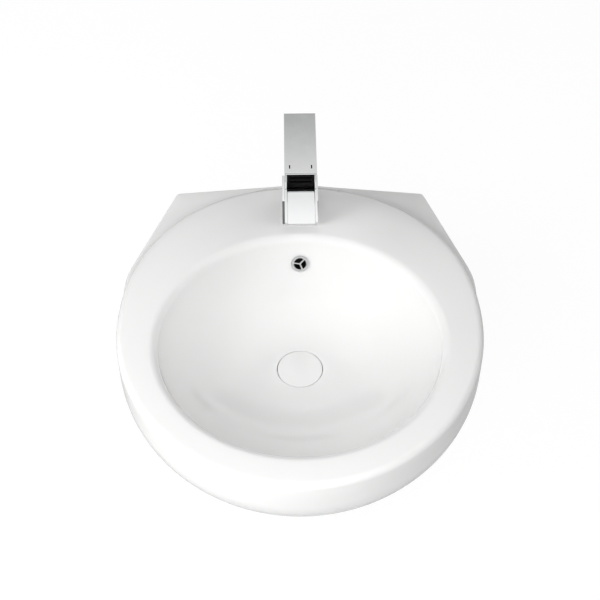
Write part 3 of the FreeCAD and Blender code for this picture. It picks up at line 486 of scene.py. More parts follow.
def carve(piece: Piece, tool: Piece, operation: str = "DIFFERENCE") -> None:
    """Cut a closed tool out of a closed piece, or add it on, and delete the tool.

    Args:
        piece: what is cut.
        tool: what cuts it.
        operation: DIFFERENCE or UNION.
    """
    modified(piece, "BOOLEAN", operation=operation, object=tool, solver="EXACT")
    bpy.data.objects.remove(tool)


def flatten_normals(piece: Piece) -> Piece:
    """Shade a piece so that its large faces look flat and its roundings smooth."""
    return modified(smooth(piece), "WEIGHTED_NORMAL", mode="FACE_AREA", weight=100,
                    keep_sharp=True)


def bevelled(piece: Piece, width: float, segments: int = 3, angle: float = 40.0) -> Piece:
    """Round the edges of a piece that are sharper than an angle.

    Args:
        piece: the piece.
        width: the width of the rounding in metres.
        segments: how many faces make the rounding.
        angle: the angle in degrees.

    Returns:
        The piece.
    """
    return modified(piece, "BEVEL", width=width, segments=segments, limit_method="ANGLE",
                    angle_limit=math.radians(angle), use_clamp_overlap=True)


def joined(name: str, pieces: Sequence[Piece]) -> Piece:
    """Put several objects into one, and delete them.

    Args:
        name: the new object's name.
        pieces: the objects to join.

    Returns:
        The new object.
    """
    built = bmesh.new()
    for piece in pieces:
        built.from_mesh(piece.data)
        bpy.data.objects.remove(piece)
    return kept(built, name)


def move(piece: Piece, matrix: Matrix) -> Piece:
    """Move a piece's mesh and leave its object at the origin."""
    piece.data.transform(matrix)
    return piece


def prism(name: str, profile: Sequence[Point], half: float) -> Piece:
    """Push a closed (y, z) outline out to both sides along X.

    Args:
        name: the object's name.
        profile: the outline's corners in metres.
        half: half of the width.

    Returns:
        The new object.
    """
    points = [Vector((side * half, y, z)) for side in SIDES for y, z in profile]
    count = len(profile)
    faces = [tuple(range(count)), tuple(reversed(range(count, 2 * count)))]
    for index in range(count):
        following = (index + 1) % count
        faces.append((index, following, count + following, count + index))
    return from_faces(name, points, faces)


def box(name: str, low: Place, high: Place) -> Piece:
    """Build a closed box between its lowest and its highest corner.

    Args:
        name: the object's name.
        low: its lowest corner in metres.
        high: its highest corner in metres.

    Returns:
        The new object.
    """
    profile = [(low[1], low[2]), (high[1], low[2]), (high[1], high[2]), (low[1], high[2])]
    made = prism(name, profile, 0.5 * (high[0] - low[0]))
    return move(made, Matrix.Translation((0.5 * (high[0] + low[0]), 0.0, 0.0)))


def lathe(name: str, outline: Sequence[Point], segments: int = 96) -> Piece:
    """Spin a closed outline of (radius, height) corners about the Z axis.

    Args:
        name: the object's name.
        outline: the corners in metres, in order round the section.
        segments: how many steps make the full turn.

    Returns:
        The new object, on the Z axis of the origin.
    """
    angles = steps(0.0, 2.0 * math.pi, segments)[:-1]
    return skin(name, [[Vector((radius * math.cos(angle), radius * math.sin(angle), height))
                        for radius, height in outline] for angle in angles])


def bore(name: str, radius: float, low: float, high: float, place: Point,
         level: bool = False) -> Piece:
    """Build the space of a round hole.

    Args:
        name: the object's name.
        radius: the hole's radius.
        low: where it starts, along Z, or along Y if it is level.
        high: where it ends.
        place: its (x, y), or its (x, z) if it is level.
        level: whether it runs along Y.

    Returns:
        The new object.
    """
    made = lathe(name, [(0.0, low), (radius, low), (radius, high), (0.0, high)], segments=48)
    if level:
        move(made, Matrix.Rotation(-QUARTER, 4, "X"))
        return move(made, Matrix.Translation((place[0], 0.0, place[1])))
    return move(made, Matrix.Translation((*place, 0.0)))


def arc(centre: Point, radius: float, start: float, stop: float, count: int) -> list[Point]:
    """Give the points of an arc in the plane of an outline.

    Args:
        centre: the arc's centre.
        radius: its radius.
        start: the first angle in degrees.
        stop: the last angle in degrees.
        count: how many stretches it has.

    Returns:
        The points, ends included.
    """
    return [(centre[0] + radius * math.cos(math.radians(angle)),
             centre[1] + radius * math.sin(math.radians(angle)))
            for angle in steps(start, stop, count)]


def rounded(corners: Sequence[tuple[float, float, float]], count: int) -> list[Point]:
    """Round the corners of a closed outline.

    Args:
        corners: (radius from the axis, height, rounding) of each corner.
        count: how many stretches each rounding has.

    Returns:
        The rounded outline.
    """
    outline: list[Point] = []
    for index, (across, up, rounding) in enumerate(corners):
        if rounding <= 0.0:
            outline.append((across, up))
            continue
        here = Vector((across, up))
        before = Vector(corners[index - 1][:2])
        after = Vector(corners[(index + 1) % len(corners)][:2])
        start = here + (before - here).normalized() * rounding
        stop = here + (after - here).normalized() * rounding
        for share in steps(0.0, 1.0, count):
            point = start.lerp(here, share).lerp(here.lerp(stop, share), share)
            outline.append((point.x, point.y))
    return outline


def finish_piece(piece: Piece, finish: Finish, body: Body, *nodes: str) -> None:
    """Give a piece its material, attach it to its body and hide the CAD nodes that it stands for.

    Args:
        piece: the finished object.
        finish: its finish.
        body: the body that it rides on.
        nodes: the CAD nodes that it replaces.
    """
    piece.data.materials.clear()
    piece.data.materials.append(finish.material())
    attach(piece, body.value)
    if nodes:
        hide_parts(*nodes)
    LOG.info("%s: %d faces, rides on %s", piece.name, len(piece.data.polygons), body.value)


def paint(piece: Piece, faces: Sequence[int], finish: Finish) -> None:
    """Give some faces of a finished piece another material.

    Args:
        piece: the piece.
        faces: the numbers of its faces.
        finish: their finish.
    """
    piece.data.materials.append(finish.material())
    for index in faces:
        piece.data.polygons[index].material_index = len(piece.data.materials) - 1


# ---------------------------------------------------------------- geometry node trees


class Pattern:
    """A Geometry Nodes tree with named inputs, run once on an empty mesh."""

    def __init__(self, name: str) -> None:
        """Start a tree that has only the two ends of its geometry.

        Args:
            name: the tree's name.
        """
        self.tree = bpy.data.node_groups.new(name, "GeometryNodeTree")
        for end in ("INPUT", "OUTPUT"):
            self.tree.interface.new_socket("Geometry", in_out=end,
                                           socket_type="NodeSocketGeometry")
        self.entry = self.tree.nodes.new("NodeGroupInput")
        self.exit = self.tree.nodes.new("NodeGroupOutput")
        self.keys: dict[str, str] = {}

    def size(self, name: str, kind: str = "NodeSocketFloat") -> Socket:
        """Add a named input.

        Args:
            name: the input's name.
            kind: its socket type.

        Returns:
            The socket inside the tree.
        """
        item = self.tree.interface.new_socket(name, in_out="INPUT", socket_type=kind)
        self.keys[name] = item.identifier
        return self.entry.outputs[name]

    def node(self, kind: str, inputs: dict[str | int, object]) -> bpy.types.bpy_prop_collection:
        """Add a node with its inputs, and give its outputs."""
        return add_node(self.tree, kind, inputs)

    def close(self, geometry: Socket, finish: Finish) -> None:
        """End the tree in real geometry with a material.

        Args:
            geometry: what the tree made.
            finish: the finish of its faces.
        """
        real = self.node("GeometryNodeRealizeInstances", {"Geometry": geometry})
        painted = self.node("GeometryNodeSetMaterial", {"Geometry": real["Geometry"],
                                                        "Material": finish.material()})
        self.tree.links.new(painted["Geometry"], self.exit.inputs["Geometry"])

    def run(self, name: str, **sizes: float | int) -> Piece:
        """Run the tree and keep its result as a plain mesh.

        Args:
            name: the object's name.
            sizes: a value for each named input.

        Returns:
            The new object.
        """
        piece = kept(bmesh.new(), name)
        modifier = piece.modifiers.new("pattern", "NODES")
        modifier.node_group = self.tree
        for key, value in sizes.items():
            modifier[self.keys[key]] = value
        return settle(piece)


def coil_pattern(name: str, finish: Finish) -> Pattern:
    """Build the tree of a wire that winds up the Z axis, for screw threads.

    Args:
        name: the tree's name.
        finish: the wire's finish.

    Returns:
        The tree, with its inputs Radius, Height, Turns, Wire and Steps.
    """
    wire_corners = 6
    pattern = Pattern(name)
    radius = pattern.size("Radius")
    spiral = pattern.node("GeometryNodeCurveSpiral", {
        "Resolution": pattern.size("Steps", "NodeSocketInt"), "Rotations": pattern.size("Turns"),
        "Start Radius": radius, "End Radius": radius, "Height": pattern.size("Height")})
    section = pattern.node("GeometryNodeCurvePrimitiveCircle", {
        "Resolution": wire_corners, "Radius": pattern.size("Wire")})
    tube = pattern.node("GeometryNodeCurveToMesh", {
        "Curve": spiral["Curve"], "Profile Curve": section["Curve"], "Fill Caps": True})
    pattern.close(tube["Mesh"], finish)
    return pattern


def spoke_pattern(name: str, finish: Finish) -> Pattern:
    """Build the tree of bars that stand out from the Z axis at equal angles.

    Args:
        name: the tree's name.
        finish: the bars' finish.

    Returns:
        The tree, with its inputs Count, Length, Width, Thick and Turn.
    """
    pattern = Pattern(name)
    count = pattern.size("Count", "NodeSocketInt")
    length = pattern.size("Length")
    extent = pattern.node("ShaderNodeCombineXYZ", {
        "X": length, "Y": pattern.size("Width"), "Z": pattern.size("Thick")})
    bar = pattern.node("GeometryNodeMeshCube", {"Size": extent["Vector"]})
    middle = maths(pattern.tree, "MULTIPLY", length, 0.5)
    shift = pattern.node("ShaderNodeCombineXYZ", {"X": middle})
    moved = pattern.node("GeometryNodeTransform", {
        "Geometry": bar["Mesh"], "Translation": shift["Vector"]})
    points = pattern.node("GeometryNodePoints", {"Count": count})
    share = maths(pattern.tree, "DIVIDE", 2.0 * math.pi, count)
    index = pattern.node("GeometryNodeInputIndex", {})["Index"]
    angle = maths(pattern.tree, "MULTIPLY_ADD", index, share, pattern.size("Turn"))
    rotation = pattern.node("ShaderNodeCombineXYZ", {"Z": angle})
    bars = pattern.node("GeometryNodeInstanceOnPoints", {
        "Points": points[0], "Instance": moved["Geometry"], "Rotation": rotation["Vector"]})
    pattern.close(bars["Instances"], finish)
    return pattern


def thread_ridges(name: str, finish: Finish, foot: Place, length: float, pitch: float,
                  **sizes: float | int) -> None:
    """Wind the ridges of a screw thread round a tube or a stud of the basin.

    Args:
        name: the object's name.
        finish: its finish.
        foot: where the thread's axis starts.
        length: how far the thread goes up.
        pitch: how far one turn goes up.
        sizes: the coil's Radius, Wire and Steps.
    """
    coil = coil_pattern(name + "_coil", finish).run(name, Height=length, Turns=length / pitch,
                                                    **sizes)
    finish_piece(smooth(move(coil, Matrix.Translation(foot))), finish, Body.BASIN)


# ---------------------------------------------------------------- ceramic


@dataclass
class Ceramic:
    """The one-piece ceramic: bowl, ring, apron, shelf and the hollow under them."""

    ring_half_width: float = 250.0 * MM
    ring_half_depth: float = 262.0 * MM
    ring_y: float = -266.0 * MM
    back_fullness: float = 2.15
    rim_z: float = 55.0 * MM
    rim_thick: float = 15.0 * MM
    rim_edge: float = 9.0 * MM
    straight: float = 46.0 * MM
    tuck: float = 100.0 * MM
    curve_drop: float = 96.0 * MM
    end_angle: float = math.radians(80.0)
    lean: float = 0.12
    wall: float = 10.0 * MM
    shelf_back_half: float = 183.0 * MM
    shelf_side: float = 249.0 * MM
    shelf_turn_y: float = -159.2 * MM
    shelf_turn_radius: float = 119.4 * MM
    shelf_corner_radius: float = 6.0 * MM
    shelf_top: float = 54.0 * MM
    shelf_fall: float = 0.104
    shelf_edge: float = 3.0 * MM
    edge_share: float = 0.4
    ledge: float = 22.0 * MM
    ledge_back: float = 3.0 * MM
    bowl_half_width: float = 193.0 * MM
    bowl_half_depth: float = 184.5 * MM
    bowl_y: float = -294.0 * MM
    bowl_depth: float = 117.0 * MM
    bowl_flare: float = 1.12
    bowl_wall: float = 11.0 * MM
    lip: float = 12.0 * MM
    drain_shift: float = 39.0 * MM
    drain_flat: float = 34.1 * MM
    recess_radius: float = 32.9 * MM
    recess_edge: float = 0.8 * MM
    recess_floor: float = -75.4 * MM
    waste_hole: float = 23.0 * MM
    boss_radius: float = 45.0 * MM
    boss_under: float = -93.0 * MM
    bowl_steps: int = 34
    edge_steps: int = 8
    cove_steps: int = 4
    tub_steps: int = 7
    apron_steps: int = 14
    inside_steps: int = 10
    under_steps: int = 16
    column_turn: float = math.radians(2.5)
    corner_turn: float = math.radians(0.35)
    corner_columns: int = 7
    column_gap: float = math.radians(0.2)

    def plan(self, angle: float, inset: float, shift: float = 0.0) -> Vector:
        """Give a point of the ring's outline.

        Args:
            angle: the way round the ring in radians.
            inset: how far the outline is drawn in.
            shift: how far it is moved back.

        Returns:
            The point, at the worktop's height.
        """
        power = 2.0 / (self.back_fullness if math.sin(angle) > 0.0 else 2.0)
        across = math.copysign(abs(math.cos(angle)) ** power, math.cos(angle))
        along = math.copysign(abs(math.sin(angle)) ** power, math.sin(angle))
        return Vector(((self.ring_half_width - inset) * across,
                       self.ring_y + shift + (self.ring_half_depth - inset) * along, 0.0))

    def bowl_size(self, turn: float, growth: float) -> tuple[float, float, float]:
        """Give the size of a level section of the bowl, or of the bowl grown by a wall.

        Args:
            turn: the way down, from 0 at the rim to a quarter turn at the drain, in radians.
            growth: how far the surface lies behind the bowl's.

        Returns:
            The section's half width, its half depth and the Y of its middle.
        """
        spread = max(math.cos(turn), 0.0) ** self.bowl_flare
        flat = self.drain_flat + growth
        wide = flat + (self.bowl_half_width + growth - flat) * spread
        deep = flat + (self.bowl_half_depth + growth - flat) * spread
        return wide, deep, self.bowl_y + self.drain_shift * (1.0 - spread)

    def bowl_point(self, angle: float, turn: float, growth: float) -> Vector:
        """Give a point of the bowl, or of the bowl grown by a wall.

        Args:
            angle: the way round the bowl in radians.
            turn: the way down, as bowl_size takes it.
            growth: how far the surface lies behind the bowl's.

        Returns:
            The point.
        """
        wide, deep, centre = self.bowl_size(turn, growth)
        height = self.rim_z - (self.bowl_depth + growth) * math.sin(turn)
        return Vector((wide * math.cos(angle), centre + deep * math.sin(angle), height))

    def bowl_turn(self, height: float, growth: float) -> float:
        """Give how far down the bowl a height is, as the turn that bowl_point takes."""
        return math.asin((self.rim_z - height) / (self.bowl_depth + growth))

    def wall_behind(self, height: float) -> float:
        """Give the Y of the back of the bowl at one height."""
        _, deep, centre = self.bowl_size(self.bowl_turn(height, 0.0), 0.0)
        return centre + deep

    def behind(self, across: float, turn: float, growth: float) -> Vector:
        """Give the point of the bowl's back half, grown by a wall, at one X and turn."""
        wide, *_ = self.bowl_size(turn, growth)
        return self.bowl_point(math.acos(across / wide), turn, growth)

    def skin_at(self, angle: float, turn: float, wall: float) -> Vector:
        """Give a point of the apron's curve, or of its inside.

        Args:
            angle: the way round the ring in radians.
            turn: the way down the curve in radians.
            wall: how far the surface lies inside the apron's.

        Returns:
            The point.
        """
        pulled = self.tuck - (self.tuck - wall) * math.cos(turn)
        height = self.rim_z - self.straight - (self.curve_drop - wall) * math.sin(turn)
        return at_height(self.plan(angle, pulled, self.lean * (pulled - wall)), height)

    def meeting(self, angle: float, rear: bool, wall: float) -> float:
        """Find where the tub's straight side runs into the apron's curve.

        Args:
            angle: the way round the ring in radians.
            rear: whether it is in the rear half, where the curve starts further in.
            wall: how far the surface lies inside the apron's.

        Returns:
            The turn that skin_at takes there.
        """
        further = self.ledge_back * max(0.0, math.sin(angle)) if rear else 0.0
        inset = self.ledge + wall + further
        return math.acos((self.tuck - inset) / (self.tuck - wall))

    def round_drain(self, angle: float, radius: float, height: float) -> Vector:
        """Give a point on a circle about the drain."""
        centre = self.bowl_y + self.drain_shift
        return Vector((radius * math.cos(angle), centre + radius * math.sin(angle), height))

    def mouth_point(self, angle: float, height: float) -> Vector:
        """Give a point on the edge of the hollow's mouth.

        Args:
            angle: the way round the mouth in radians.
            height: the point's height.

        Returns:
            The point.
        """
        inset = self.tuck - self.lean * self.wall
        centre = self.ring_y + self.lean * inset
        return Vector(((self.ring_half_width - inset) * math.cos(angle),
                       centre + (self.ring_half_depth - inset) * math.sin(angle), height))

    @staticmethod
    def round_corner(before: Vector, corner: Vector, after: Vector, radius: float,
                     count: int) -> list[Vector]:
        """Give the arc of a radius that rounds a corner.

        Args:
            before: the corner before it.
            corner: the corner itself.
            after: the corner after it.
            radius: the arc's radius.
            count: how many stretches the arc has.

        Returns:
            The arc's points, ends included.
        """
        back = (before - corner).normalized()
        on = (after - corner).normalized()
        half = 0.5 * back.angle(on)
        reach = radius / math.tan(half)
        centre = corner + (back + on).normalized() * (radius / math.sin(half))
        first = corner + back * reach - centre
        last = corner + on * reach - centre
        span = first.angle(last)
        return [centre + (first * math.sin(span - share) + last * math.sin(share))
                / math.sin(span) for share in steps(0.0, span, count)]

    def shelf_outline(self) -> list[Vector]:
        """Give the right half of the shelf's outline.

        Returns:
            Its points, from the ring's side to the middle of the wall.
        """
        start = Vector((self.shelf_side, self.ring_y, 0.0))
        turn = Vector((self.shelf_side, self.shelf_turn_y, 0.0))
        corner = Vector((self.shelf_back_half, 0.0, 0.0))
        end = Vector((0.0, 0.0, 0.0))
        side = self.round_corner(start, turn, corner, self.shelf_turn_radius, count=24)
        back = self.round_corner(turn, corner, end, self.shelf_corner_radius, count=6)
        return [start, *side, *back, end]

    def shelf_reach(self, angle: float) -> float:
        """Find how far the shelf stands out past the ring, along a ray from the middle.

        Args:
            angle: the way round the ring in radians.

        Returns:
            The distance from the ring's outline to the shelf's, or 0.
        """
        parallel, slack = 1e-12, 1e-6
        centre = Vector((0.0, self.ring_y, 0.0))
        ring = self.plan(angle, 0.0) - centre
        ray = ring.normalized()
        ray.x = abs(ray.x)
        outline = self.shelf_outline()
        for first, second in zip(outline, outline[1:]):
            side = second - first
            offset = first - centre
            across = ray.x * side.y - ray.y * side.x
            if abs(across) < parallel:
                continue
            distance = (offset.x * side.y - offset.y * side.x) / across
            share = (offset.x * ray.y - offset.y * ray.x) / across
            if -slack <= share <= 1.0 + slack and distance > 0.0:
                return max(0.0, distance - ring.length)
        return 0.0

    def shelf_height(self, across: float, start_z: float, reach: float) -> float:
        """Give the height of the shelf's top, or of the ring's side where there is no shelf."""
        return start_z if reach <= 0.0 else self.shelf_top - self.shelf_fall * abs(across)

    def bowl_column(self, angle: float) -> list[Vector]:
        """Give the section from the waste hole's top up to the ring's top.

        Args:
            angle: the way round the bowl in radians.

        Returns:
            The section's points.
        """
        edge = self.recess_edge
        floor = self.rim_z - self.bowl_depth
        recess = floor - edge - self.recess_floor
        points = [self.round_drain(angle, self.waste_hole, self.recess_floor)]
        for share in (0.0, 0.33, 0.66):
            points.append(self.round_drain(angle, self.recess_radius,
                                           self.recess_floor + recess * share))
        for turn in steps(0.0, QUARTER, 3):
            points.append(self.round_drain(angle, self.recess_radius + edge * (1 - math.cos(turn)),
                                           floor - edge * (1 - math.sin(turn))))
        top = self.bowl_turn(self.rim_z - self.lip, 0.0)
        points += [self.bowl_point(angle, turn, 0.0)
                   for turn in steps(QUARTER, top, self.bowl_steps)]
        base = points[-1]
        span = at_height(self.bowl_point(angle, 0.0, self.lip) - base, 0.0)
        for turn in steps(0.0, QUARTER, self.edge_steps)[1:]:
            points.append(at_height(base + span * (1.0 - math.cos(turn)),
                                    base.z + self.lip * math.sin(turn)))
        return points

    def shelf_column(self, angle: float, rear: bool) -> list[Vector]:
        """Give the section over the ring's top, down its edge and over the shelf to its foot.

        Args:
            angle: the way round the ring in radians.
            rear: whether it is in the rear half, which has the shelf.

        Returns:
            The section's points.
        """
        ring = self.plan(angle, 0.0)
        outwards = (ring - Vector((0.0, self.ring_y, 0.0))).normalized()
        reach = self.shelf_reach(angle) if rear else 0.0
        floor = self.rim_z - self.rim_edge
        shelf_z = self.shelf_top - self.shelf_fall * abs(ring.x)
        start_z = min(shelf_z, floor)
        stop = 0.0
        if shelf_z > floor and reach > 0.0:
            start_z = shelf_z
            stop = math.asin((shelf_z - floor) / self.rim_edge)
        lip_point = self.bowl_point(angle, 0.0, self.lip)
        inner = self.plan(angle, self.rim_edge)
        points = [at_height(lip_point.lerp(inner, share), self.rim_z) for share in (0.35, 0.7)]
        for turn in steps(QUARTER, stop, self.edge_steps):
            points.append(at_height(self.plan(angle, self.rim_edge * (1.0 - math.cos(turn))),
                                    floor + self.rim_edge * math.sin(turn)))
        meet = self.plan(angle, self.rim_edge * (1.0 - math.cos(stop)))
        far = ring + outwards * reach
        edge = min(self.shelf_edge, self.edge_share * reach)
        for turn in steps(0.0, QUARTER, self.cove_steps):
            points.append(at_height(meet + outwards * (edge * (1.0 - math.cos(turn))),
                                    start_z + edge * (1.0 - math.sin(turn))))
        middle = (meet + outwards * edge).lerp(far - outwards * edge, 0.5)
        points.append(at_height(middle, self.shelf_height(middle.x, start_z, reach)))
        for turn in steps(0.0, QUARTER, self.cove_steps):
            point = far - outwards * (edge * (1.0 - math.sin(turn)))
            top = self.shelf_height(point.x, start_z, reach)
            points.append(at_height(point, top - edge * (1.0 - math.cos(turn))))
        foot_z = 0.0 if rear else self.rim_z - self.straight
        last_z = points[-1].z
        points += [at_height(far, last_z + (foot_z - last_z) * share) for share in (0.5, 1.0)]
        return points

    def apron_column(self, angle: float, rear: bool) -> list[Vector]:
        """Give the section from the worktop's height down to the mouth of the hollow.

        Args:
            angle: the way round the ring in radians.
            rear: whether it is in the rear half, which has the ledge and the tub.

        Returns:
            The section's points, the same number for each half.
        """
        meeting = self.meeting(angle, rear, 0.0)
        if rear:
            depth = self.skin_at(angle, meeting, 0.0).z
            tub = self.plan(angle, self.ledge)
            outer = self.plan(angle, 0.0)
            points = [outer.lerp(tub, share) for share in (0.5, 1.0)]
            points += [at_height(tub, depth * share)
                       for share in steps(0.0, 1.0, self.tub_steps)[1:-1]]
        else:
            points = [self.skin_at(angle, turn, 0.0)
                      for turn in steps(0.0, meeting, self.tub_steps + 2)[1:-1]]
        return points + [self.skin_at(angle, turn, 0.0)
                         for turn in steps(meeting, self.end_angle, self.apron_steps)]

    def hollow_column(self, angle: float, rear: bool) -> list[Vector]:
        """Give the section from the mouth up the inside of the apron and down round the bowl.

        Args:
            angle: the way round the ring in radians.
            rear: whether it is in the rear half, which has the ledge and the tub.

        Returns:
            The section's points, the same number for each half.
        """
        points = [self.mouth_point(angle, self.skin_at(angle, self.end_angle, wall).z)
                  for wall in (0.0, self.wall)]
        meeting = self.meeting(angle, rear, self.wall)
        points += [self.skin_at(angle, turn, self.wall)
                   for turn in steps(self.end_angle, meeting, self.inside_steps)]
        ceiling = self.rim_z - self.rim_thick
        side = self.plan(angle, self.wall)
        if rear:
            tub = self.plan(angle, self.ledge + self.wall)
            start_z = points[-1].z
            points += [at_height(tub, start_z + (self.wall - start_z) * share)
                       for share in (0.3, 0.6, 1.0)]
            points.append(at_height(side, self.wall))
        else:
            points += [self.skin_at(angle, meeting * (1.0 - share), self.wall)
                       for share in (0.34, 0.67, 1.0)]
            points.append(at_height(side, 0.5 * (points[-1].z + ceiling)))
        points.append(at_height(side, ceiling))
        top = self.bowl_turn(ceiling, self.bowl_wall)
        points += [self.bowl_point(angle, turn, self.bowl_wall)
                   for turn in steps(top, QUARTER, self.under_steps)]
        return points + [self.round_drain(angle, radius, self.boss_under)
                         for radius in (self.boss_radius, self.waste_hole)]

    def column(self, angle: float, rear: bool) -> list[Vector]:
        """Give one section of the ceramic, from the waste hole up, over the ring and back under.

        Args:
            angle: the way round the ring in radians.
            rear: whether the section is that of the recessed rear or of the apron.

        Returns:
            The section's points, the same number for each section.
        """
        return [*self.bowl_column(angle), *self.shelf_column(angle, rear),
                *self.apron_column(angle, rear), *self.hollow_column(angle, rear)]

    def mesh(self) -> Piece:
        """Build the ceramic from sections, which are closer together at the shelf's corners.

        Returns:
            The ceramic, with nothing cut out of it yet.
        """
        even = [self.column_turn * step for step in range(round(math.pi / self.column_turn) + 1)]
        corner = math.atan2(-self.ring_y, self.shelf_back_half)
        close = [middle + self.corner_turn * step for middle in (corner, math.pi - corner)
                 for step in range(-self.corner_columns, self.corner_columns + 1)]
        apart = [angle for angle in even
                 if all(abs(angle - other) > self.column_gap for other in close)]
        return skin("basin_ceramic", [self.column(angle, True) for angle in sorted(apart + close)]
                    + [self.column(math.pi + angle, False) for angle in even])


@dataclass
class Overflow:
    """The overflow: its hole, duct and rib in the ceramic, the chrome ring and the grille."""

    ceramic: Ceramic
    drop: float = 43.4 * MM
    hole_radius: float = 11.0 * MM
    hole_depth: float = 21.0 * MM
    ring_radius: float = 13.6 * MM
    ring_thick: float = 1.6 * MM
    ring_soft: float = 1.2 * MM
    sleeve_radius: float = 10.9 * MM
    sleeve_length: float = 13.0 * MM
    bore: float = 9.7 * MM
    bore_soft: float = 0.7 * MM
    seat_gap: float = 0.1 * MM
    grille_thick: float = 2.0 * MM
    grille_sink: float = 0.8 * MM
    grille_rim: float = 0.7 * MM
    grille_play: float = 0.02 * MM
    grille_soft: float = 0.2 * MM
    hub_radius: float = 1.6 * MM
    hub_soft: float = 0.4 * MM
    spoke_count: int = 3
    spoke_width: float = 2.3 * MM
    spoke_turn: float = math.radians(51.0)
    spoke_end: float = 0.4 * MM
    spoke_sink: float = 0.1 * MM
    spoke_soft: float = 0.3 * MM
    rib_half: float = 23.0 * MM
    rib_growths: Point = (5.5 * MM, 31.0 * MM)
    rib_top: float = 33.0 * MM
    rib_bottom: float = -93.0 * MM
    duct_half: float = 16.0 * MM
    duct_growths: Point = (17.0 * MM, 24.0 * MM)
    duct_top: float = 26.0 * MM
    duct_bottom: float = -78.0 * MM

    def facing(self) -> Matrix:
        """Find the place and direction of the ring on the bowl's back wall.

        Returns:
            The matrix that moves a piece there from the origin.
        """
        height = self.ceramic.rim_z - self.drop
        reach = self.ring_radius
        low, high = (Vector((0.0, self.ceramic.wall_behind(level), level))
                     for level in (height - reach, height + reach))
        outwards = Vector((0.0, low.z - high.z, high.y - low.y)).normalized()
        bend = self.ceramic.bowl_half_width ** 2 / self.ceramic.bowl_half_depth
        rise = reach * reach / (2.0 * bend) + self.seat_gap
        turn = Vector((0.0, 0.0, 1.0)).rotation_difference(outwards)
        seat = Matrix.Translation((low + high) * 0.5 + outwards * rise)
        return seat @ turn.to_matrix().to_4x4()

    def strip(self, name: str, half: float, growths: Point, top: float, bottom: float) -> Piece:
        """Build a closed strip that follows the back of the bowl between two depths.

        Args:
            name: the object's name.
            half: half of its width.
            growths: how far its two surfaces lie behind the bowl's.
            top: its upper end's height.
            bottom: its lower end's height; lower than the bowl's floor, it runs to the drain.

        Returns:
            The strip.
        """
        across, along = 9, 20
        points = []
        for growth in growths:
            deepest = self.ceramic.rim_z - self.ceramic.bowl_depth - growth
            last = self.ceramic.bowl_turn(bottom, growth) if bottom > deepest else QUARTER
            for turn in steps(self.ceramic.bowl_turn(top, growth), last, along - 1):
                points += [self.ceramic.behind(half * (2.0 * share - 1.0), turn, growth)
                           for share in steps(0.0, 1.0, across - 1)]
        size = across * along
        faces = []
        for start in range(0, size - across, across):
            for first in range(start, start + across - 1):
                front = (first, first + 1, first + 1 + across, first + across)
                faces += [front, tuple(size + index for index in reversed(front))]
            for first in (start, start + across - 1):
                faces.append((first, first + across, size + first + across, size + first))
        for column in range(across - 1):
            for first in (column, size - across + column):
                faces.append((first, first + 1, size + first + 1, size + first))
        return from_faces(name, points, faces)

    def rib(self) -> Piece:
        """Build the rib behind the bowl that holds the duct."""
        return self.strip("rib", self.rib_half, self.rib_growths, self.rib_top, self.rib_bottom)

    def passages(self) -> list[Piece]:
        """Build the spaces of the duct and of the round hole in the bowl's wall.

        Returns:
            The two tools that cut them.
        """
        duct = self.strip("duct", self.duct_half, self.duct_growths, self.duct_top,
                          self.duct_bottom)
        hole = bore("hole", self.hole_radius, -self.hole_depth, self.hole_depth, (0.0, 0.0))
        return [duct, move(hole, self.facing())]

    def ring(self) -> None:
        """Build the chrome ring with its sleeve; its bore below the grille is painted near-black
        as painted shade.
        """
        bore_shade_top = self.ring_thick - self.grille_sink - self.grille_thick
        outline = rounded([
            (self.bore, bore_shade_top, 0.0),
            (self.bore, -self.sleeve_length, 0.0),
            (self.sleeve_radius, -self.sleeve_length, 0.0),
            (self.sleeve_radius, 0.0, 0.0),
            (self.ring_radius, 0.0, 0.0),
            (self.ring_radius, self.ring_thick, self.ring_soft),
            (self.bore, self.ring_thick, self.bore_soft),
        ], count=6)
        ring = smooth(lathe("overflow_chrome_ring", outline), angle=30.0)
        # The bore faces below the grille, which get the painted shade.
        inside = [face.index for face in ring.data.polygons
                  if face.center.xy.length < self.bore and face.center.z < bore_shade_top]
        move(ring, self.facing())
        finish_piece(ring, CHROME, Body.BASIN, "overflow_ring")
        paint(ring, inside, CHROME_BORE_SHADE)

    def grille(self) -> None:
        """Build the three-spoke insert inside the ring."""
        high = self.ring_thick - self.grille_sink
        low = high - self.grille_thick
        rim_inner = self.bore - self.grille_rim
        rim_outer = self.bore - self.grille_play
        rim = lathe("rim", rounded([(rim_inner, low, 0.0), (rim_outer, low, 0.0),
                                    (rim_outer, high, self.grille_soft),
                                    (rim_inner, high, self.grille_soft)], count=3), segments=72)
        hub = lathe("hub", rounded([(0.0, low, 0.0), (self.hub_radius, low, 0.0),
                                    (self.hub_radius, high, self.hub_soft),
                                    (0.0, high, 0.0)], count=4), segments=36)
        spokes = spoke_pattern("spokes", CHROME).run(
            "spokes", Count=self.spoke_count, Length=self.bore - self.spoke_end,
            Width=self.spoke_width, Thick=self.grille_thick - self.spoke_sink,
            Turn=self.spoke_turn)
        move(spokes, Matrix.Translation((0.0, 0.0, 0.5 * (low + high - self.spoke_sink))))
        bevelled(spokes, self.spoke_soft, segments=2)
        grille = smooth(joined("overflow_insert", [rim, hub, spokes]))
        finish_piece(move(grille, self.facing()), CHROME, Body.BASIN, "overflow_grille")


